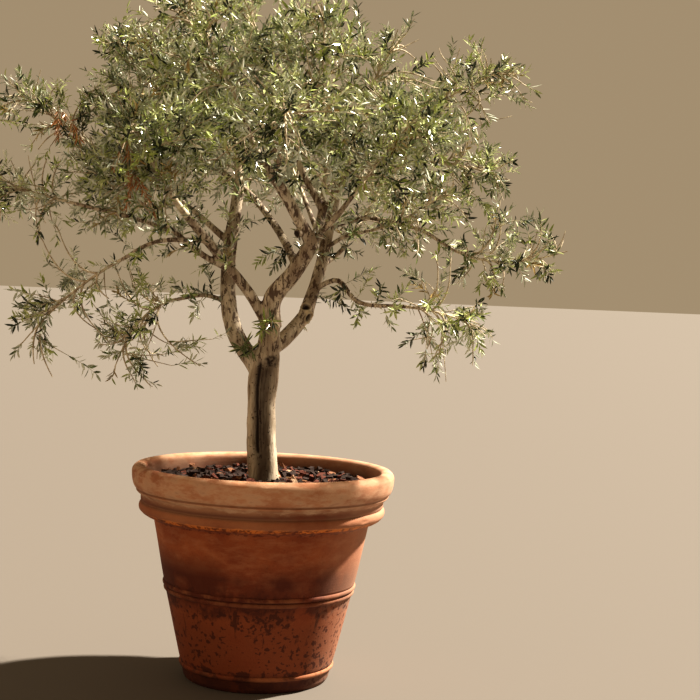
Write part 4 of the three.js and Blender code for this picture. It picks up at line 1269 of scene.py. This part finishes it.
# %% [markdown]
# Stains are laid one over the other in a loop, as a painter glazes: each row of the table says between
# which heights in metres a stain lies, how soft its two edges are, which noise breaks it up, how strong
# it is at most, and its colour. A soft edge lifts the noise, so it comes out ragged and not faded.

# %% Terracotta: the stains
RAGGED = 0.5
STAINS = [  # low, high, soft edge, noise, noise from, noise to, strength, colour
    (0.42, 0.64, 0.06, "brushed", 0.44, 0.70, 0.40, "#b9805c"),
    (0.37, 0.46, 0.12, "cloud", 0.22, 0.52, 0.90, "#4f1a0a"),
    (-0.10, 0.26, 0.14, "cloud", 0.34, 0.62, 0.55, "#5e2612"),
    (-0.10, 0.04, 0.05, "cloud", 0.10, 0.46, 0.80, "#371106"),
    (0.37, 0.40, 0.14, "drip", 0.47, 0.60, 0.60, "#4c1d0e"),
    (0.37, 0.40, 0.10, "specks", 0.55, 0.61, 0.55, "#4c1d0e"),
    (0.33, 0.362, 0.10, "smear", 0.44, 0.54, 0.80, "#4c1d0e"),
    (0.20, 0.36, 0.07, "drip", 0.585, 0.65, 0.80, "#461b0c"),
    (0.06, 0.34, 0.10, "gathered", 1.00, 1.04, 0.82, "#451a0c"),
    (-0.10, 0.085, 0.03, "smear", 0.49, 0.53, 0.85, "#451a0e"),
    (0.356, 0.371, 0.003, "smear", 0.40, 0.55, 0.40, "#ad6f49"),
    (0.378, 0.392, 0.003, "smear", 0.46, 0.60, 0.45, "#ad6f49"),
    (0.052, 0.068, 0.004, "cloud", 0.40, 0.60, 0.50, "#bd7a50"),
    (0.660, 0.674, 0.008, "smear", 0.36, 0.50, 0.95, "#d67a30"),
    (0.640, 0.672, 0.004, "specks", 0.50, 0.54, 0.70, "#5a2410"),
    # painted shade in the groove under the rim
    (0.708, 0.746, 0.008, "cloud", 0.15, 0.55, 0.75, "#64483a"),
    (0.674, 0.712, 0.006, "cloud", 0.10, 0.60, 0.38, "#ad8463"),
    (0.740, 1.00, 0.02, "cloud", 0.20, 0.60, 0.65, "#c79673"),
    (0.740, 1.00, 0.02, "brushed", 0.42, 0.62, 0.70, "#d3b193"),
    (0.750, 0.85, 0.02, "brushed", 0.54, 0.68, 0.45, "#8f563a"),
    # painted shade in the incised ring under the rim face
    (0.757, 0.763, 0.003, "cloud", 0.10, 0.40, 0.65, "#704228"),
]
for low, high, soft, pattern, least, most, strength, colour in STAINS:
    rises = add(t, "ShaderNodeMapRange", {0: height, 1: low - soft, 2: low, 3: 0.0, 4: strength})
    ends = add(t, "ShaderNodeMapRange", {0: height, 1: high, 2: high + soft, 3: 1.0, 4: 0.0})
    band = add(t, "ShaderNodeMath", {0: rises, 1: ends}, operation="MULTIPLY")
    ragged = add(t, "ShaderNodeMath", {0: band, 1: RAGGED, 2: patterns[pattern]}, operation="MULTIPLY_ADD")
    lifted = strength * RAGGED
    span = {0: ragged, 1: least + lifted, 2: most + lifted, 3: 0.0, 4: strength}
    broken = add(t, "ShaderNodeMapRange", span)
    mask = add(t, "ShaderNodeMath", {0: broken, 1: band}, operation="MINIMUM")
    tone = add(t, "ShaderNodeMix", {0: mask, 6: tone, 7: shade(colour)}, 2, data_type="RGBA")
print(len(STAINS), "stains on the clay")

# %% [markdown]
# The flank that faces the key light is painted lighter and paler, as the sunlight on it. How far a point
# lies towards the sun is its place measured along the sun's bearing. Below the beads the dark specks
# show through this painted light. The wall inside the rim is painted darker, as shade. It is told from
# the outside by its distance from the pot's axis.

# %% Terracotta: the painted sunlit flank and the painted shade inside
SUN_BEARING = (0.915, 0.403, 0.0)
LIT_SIDE_FROM, LIT_SIDE_FULL, LIT_SIDE_PAINT = 0.06, 0.34, 0.42
BEADS_LOW, BEADS_HIGH, LEAST_LIT_PAINT, SPECK_SPAN = 0.355, 0.375, 0.1, (0.54, 0.59)
INNER_WALL_TO, OUTER_WALL_FROM, INSIDE_SHADE_FROM, INSIDE_SHADE_TO, INSIDE_SHADE = 0.466, 0.480, 0.70, 0.71, 0.78

# The flank that faces the key light is painted lighter and paler, as sunlight on it.
towards_sun = add(t, "ShaderNodeVectorMath", {0: place, 1: SUN_BEARING}, "Value", operation="DOT_PRODUCT")
painted_sunlit_side = add(t, "ShaderNodeMapRange", {0: towards_sun, 1: LIT_SIDE_FROM, 2: LIT_SIDE_FULL, 3: 0.0, 4: LIT_SIDE_PAINT})
least = add(t, "ShaderNodeMapRange", {0: height, 1: BEADS_LOW, 2: BEADS_HIGH, 3: LEAST_LIT_PAINT, 4: 1.0})
clear_of_specks = add(t, "ShaderNodeMapRange", {0: specks, 1: SPECK_SPAN[0], 2: SPECK_SPAN[1], 3: 1.0, 4: least})
painted_sunlight = add(t, "ShaderNodeMath", {0: painted_sunlit_side, 1: clear_of_specks}, operation="MULTIPLY")
level = add(t, "ShaderNodeMapping", {"Vector": place, "Scale": (1.0, 1.0, 0.0)})
from_axis = add(t, "ShaderNodeVectorMath", {0: level}, "Value", operation="LENGTH")
# The wall inside the rim is painted darker, as shade.
span = {0: from_axis, 1: INNER_WALL_TO, 2: OUTER_WALL_FROM, 3: 1.0, 4: 0.0}
inside_wall = add(t, "ShaderNodeMapRange", span)
over_neck = add(t, "ShaderNodeMapRange", {0: height, 1: INSIDE_SHADE_FROM, 2: INSIDE_SHADE_TO, 3: 0.0, 4: INSIDE_SHADE})
painted_inside_shade = add(t, "ShaderNodeMath", {0: inside_wall, 1: over_neck}, operation="MULTIPLY")
# painted sunlight on the flank, and painted shade inside the rim
for mask, colour in [(painted_sunlight, "#d3a68a"), (painted_inside_shade, "#4c2515")]:
    tone = add(t, "ShaderNodeMix", {0: mask, 6: tone, 7: shade(colour)}, 2, data_type="RGBA")
print("bleached towards", SUN_BEARING)

# %% [markdown]
# Last comes the feel of the surface. Fingers left faint rings on the turning clay, 11 mm apart, and the
# coarse clay is gritty. Both are under a millimetre deep, so a bump is enough, and no points are moved.

# %% Terracotta: throwing rings and grit
RING_PITCH, RING_SHARE = 0.011, 0.10
CLAY_BUMP = (0.35, 0.0022)
WAVE_SCALE = 0.314  # what the wave texture needs for one ridge in a metre
RING_WAVE = {"Scale": WAVE_SCALE / RING_PITCH, "Distortion": 1.2, "Detail": 2.0, "Detail Scale": 0.6}
rings = add(t, "ShaderNodeTexWave", {"Vector": place, **RING_WAVE}, "Fac", bands_direction="Z")
ring_height = add(t, "ShaderNodeMath", {0: rings, 1: RING_SHARE}, operation="MULTIPLY")
ridges = add(t, "ShaderNodeMath", {0: patterns["fine"], 1: ring_height}, operation="ADD")
coat(t, shader, tone, ridges, *CLAY_BUMP)
piece(pot_mesh, [clay], replaced=["pot"])

# %% [markdown]
# ## Soil and mulch
#
# The soil lies some 6 cm below the rim, under a mulch of coarse bark chips and clinker, up to 6 cm
# across: black-brown, red-brown, tan and a few pale pinkish ones. A gently lumpy disc makes the
# ground, and the chips are strewn on it, each an eight-cornered lump turned at random.

# %% Soil surface and chips
SOIL_EDGE, TRUNK_ROOM, EDGE_ROOM = 460.0, 82, 18
CHIP_COUNT = 900
CHIP_HALF = [(10, 27), (8, 18), (6, 13)]  # least and most half size along the three sides
CHIP_LIE, CHIP_TILT, CORNER_SHARE = 9, 0.45, (0.5, 1.1)
SOIL_RINGS, SOIL_TURNS, SOIL_HOLE = 46, 120, 20
GROUND_LEVEL = 793
GROUND_LUMPS = [(70, 0, 8), (16, 5, 5)]  # width, place in the noise, height
MOUND_WIDTH, MOUND_HEIGHT = 90, 6


def soil_height(x, y):
    lumps = [noise.noise(Vector((x / wide, y / wide, at))) * high for wide, at, high in GROUND_LUMPS]
    return GROUND_LEVEL + sum(lumps) + MOUND_HEIGHT * math.exp(-(x * x + y * y) / MOUND_WIDTH**2)


def turned_by(a, b, angle):
    """Two coordinates of corners, turned in their plane."""
    cosine, sine = np.cos(angle)[:, None], np.sin(angle)[:, None]
    return a * cosine - b * sine, a * sine + b * cosine


cosine, sine = around_axis(SOIL_TURNS)
ring_radii = np.linspace(SOIL_HOLE, SOIL_EDGE, SOIL_RINGS)[:, None]
gx, gy = ring_radii * cosine, ring_radii * sine
ground_points = np.stack([gx, gy, np.vectorize(soil_height)(gx, gy)], axis=-1).reshape(-1, 3)
ground_faces = ring_faces(SOIL_RINGS, SOIL_TURNS)[:, [0, 3, 2, 1]]

CUBE = np.array([[x, y, z] for x in (-1, 1) for y in (-1, 1) for z in (-1, 1)], float)
CUBE_FACES = np.array([[0, 1, 3, 2], [4, 6, 7, 5], [0, 4, 5, 1], [2, 3, 7, 6], [0, 2, 6, 4], [1, 5, 7, 3]])
r = np.sqrt(rng.random(CHIP_COUNT)) * (SOIL_EDGE - EDGE_ROOM)
a = rng.uniform(0, 2 * np.pi, CHIP_COUNT)
r, a = r[r > TRUNK_ROOM], a[r > TRUNK_ROOM]
x, y = r * np.cos(a), r * np.sin(a)
z = np.vectorize(soil_height)(x, y) + rng.uniform(0, CHIP_LIE, len(r))
half = np.column_stack([rng.uniform(low, high, len(r)) for low, high in CHIP_HALF])
corners = CUBE[None] * half[:, None] * rng.uniform(*CORNER_SHARE, (len(r), 8, 3))
yaw, tilt = rng.uniform(0, 2 * np.pi, len(r)), rng.normal(0, CHIP_TILT, len(r))
cx, cz = turned_by(corners[..., 0], corners[..., 2], tilt)
px, py = turned_by(cx, corners[..., 1], yaw)
chip_points = np.stack([px + x[:, None], py + y[:, None], cz + z[:, None]], axis=-1).reshape(-1, 3)
chip_faces = copies(CUBE_FACES, len(r), len(CUBE))
print(len(r), "chips of mulch")

# %% [markdown]
# Each chip takes one of four plain tones and the earth a fifth. Bark and clinker are rough and porous, so
# all are dull to the eye, and a speckle of 4 mm keeps a chip from looking like plastic.

# %% Mulch finishes
MULCH = [  # name, dark, light, share of the chips
    ("moist_earth", "#21140e", "#3d271c", 0.0),
    ("black_brown_bark", "#1a0a05", "#30170c", 0.70),
    ("red_brown_bark", "#401a0f", "#6c3420", 0.21),
    ("tan_clinker", "#6e4530", "#a07050", 0.07),
    ("pale_clinker", "#a88468", "#d8bca0", 0.02),
]
SPECKLE_MM, MULCH_BUMP = 4, (0.7, 0.003)

mulch_materials = [two_tone(name, 0.93, dark, light, SPECKLE_MM, 3.0, 0.14, MULCH_BUMP)
                   for name, dark, light, _ in MULCH]
chip_tone = rng.choice(len(MULCH), len(r), p=[row[3] for row in MULCH])
soil_mesh = mesh_of("soil_and_mulch", *joined([(ground_points, ground_faces), (chip_points, chip_faces)]))
piece(soil_mesh, mulch_materials, replaced=["soil"])
soil_index = np.concatenate([np.zeros(len(ground_faces)), np.repeat(chip_tone, len(CUBE_FACES))])
soil_mesh.polygons.foreach_set("material_index", soil_index.astype(np.int32))

# %% [markdown]
# ## Floor and light
#
# The tree stands on a plain pale floor. In the picture the sun stands high behind its right shoulder, so
# pot and trunk turn a warm shaded side to us with one bright edge, and the leaves glint. A key light
# from that side does the same here, a large soft lamp at the front left lifts the shaded side a little,
# and a warm, even sky fills the shadows from all round. The plain sRGB view transform keeps the deep
# colours of the clay, which a filmic one would wash out.

# %% Floor, lights and sky
FLOOR_HALF = 200.0
SUN_WAY, SUN_STRENGTH, SUN_SPREAD = (-0.600, -0.264, -0.755), 12.0, 3.0
FILL_PLACE, FILL_AIM, FILL_WATTS, FILL_SIZE = (-5.0, -2.5, 1.6), (0.0, 0.0, 1.2), 34.0, 3.0
SKY_STRENGTH = 0.40


def light(name, kind, energy, colour, place, way):
    lamp = bpy.data.lights.new(name, kind)
    lamp.energy = energy
    lamp.color = shade(colour)[:3]
    made = bpy.data.objects.new(name, lamp)
    made.location = place
    made.rotation_mode = "QUATERNION"
    made.rotation_quaternion = way.to_track_quat("-Z", "Y")
    bpy.context.scene.collection.objects.link(made)
    return lamp


floor_mesh = bpy.data.meshes.new("floor")
corners = [(x * FLOOR_HALF, y * FLOOR_HALF, 0) for x, y in ((-1, -1), (1, -1), (1, 1), (-1, 1))]
floor_mesh.from_pydata(corners, [], [(0, 1, 2, 3)])
floor_object = bpy.data.objects.new("floor", floor_mesh)
bpy.context.scene.collection.objects.link(floor_object)
floor_paint, _, shader, _ = finish("pale_floor", 0.9)
shader.inputs["Base Color"].default_value = shade("#66605a")
floor_mesh.materials.append(floor_paint)

world = bpy.data.worlds.new("studio")
world.use_nodes = True
sky = world.node_tree.nodes["Background"]
sky.inputs["Color"].default_value = shade("#ecd2ac")
sky.inputs["Strength"].default_value = SKY_STRENGTH
bpy.context.scene.world = world
bpy.context.scene.view_settings.view_transform = "Standard"
bpy.context.scene.view_settings.look = "Medium High Contrast"

fill = light("fill", "AREA", FILL_WATTS, "#ffd9ae", FILL_PLACE, Vector(FILL_AIM) - Vector(FILL_PLACE))
fill.size = FILL_SIZE
sun = light("key", "SUN", SUN_STRENGTH, "#fff4e2", (0.0, 0.0, 0.0), Vector(SUN_WAY))
sun.angle = math.radians(SUN_SPREAD)
print("key light from behind on the right, strength", sun.energy)
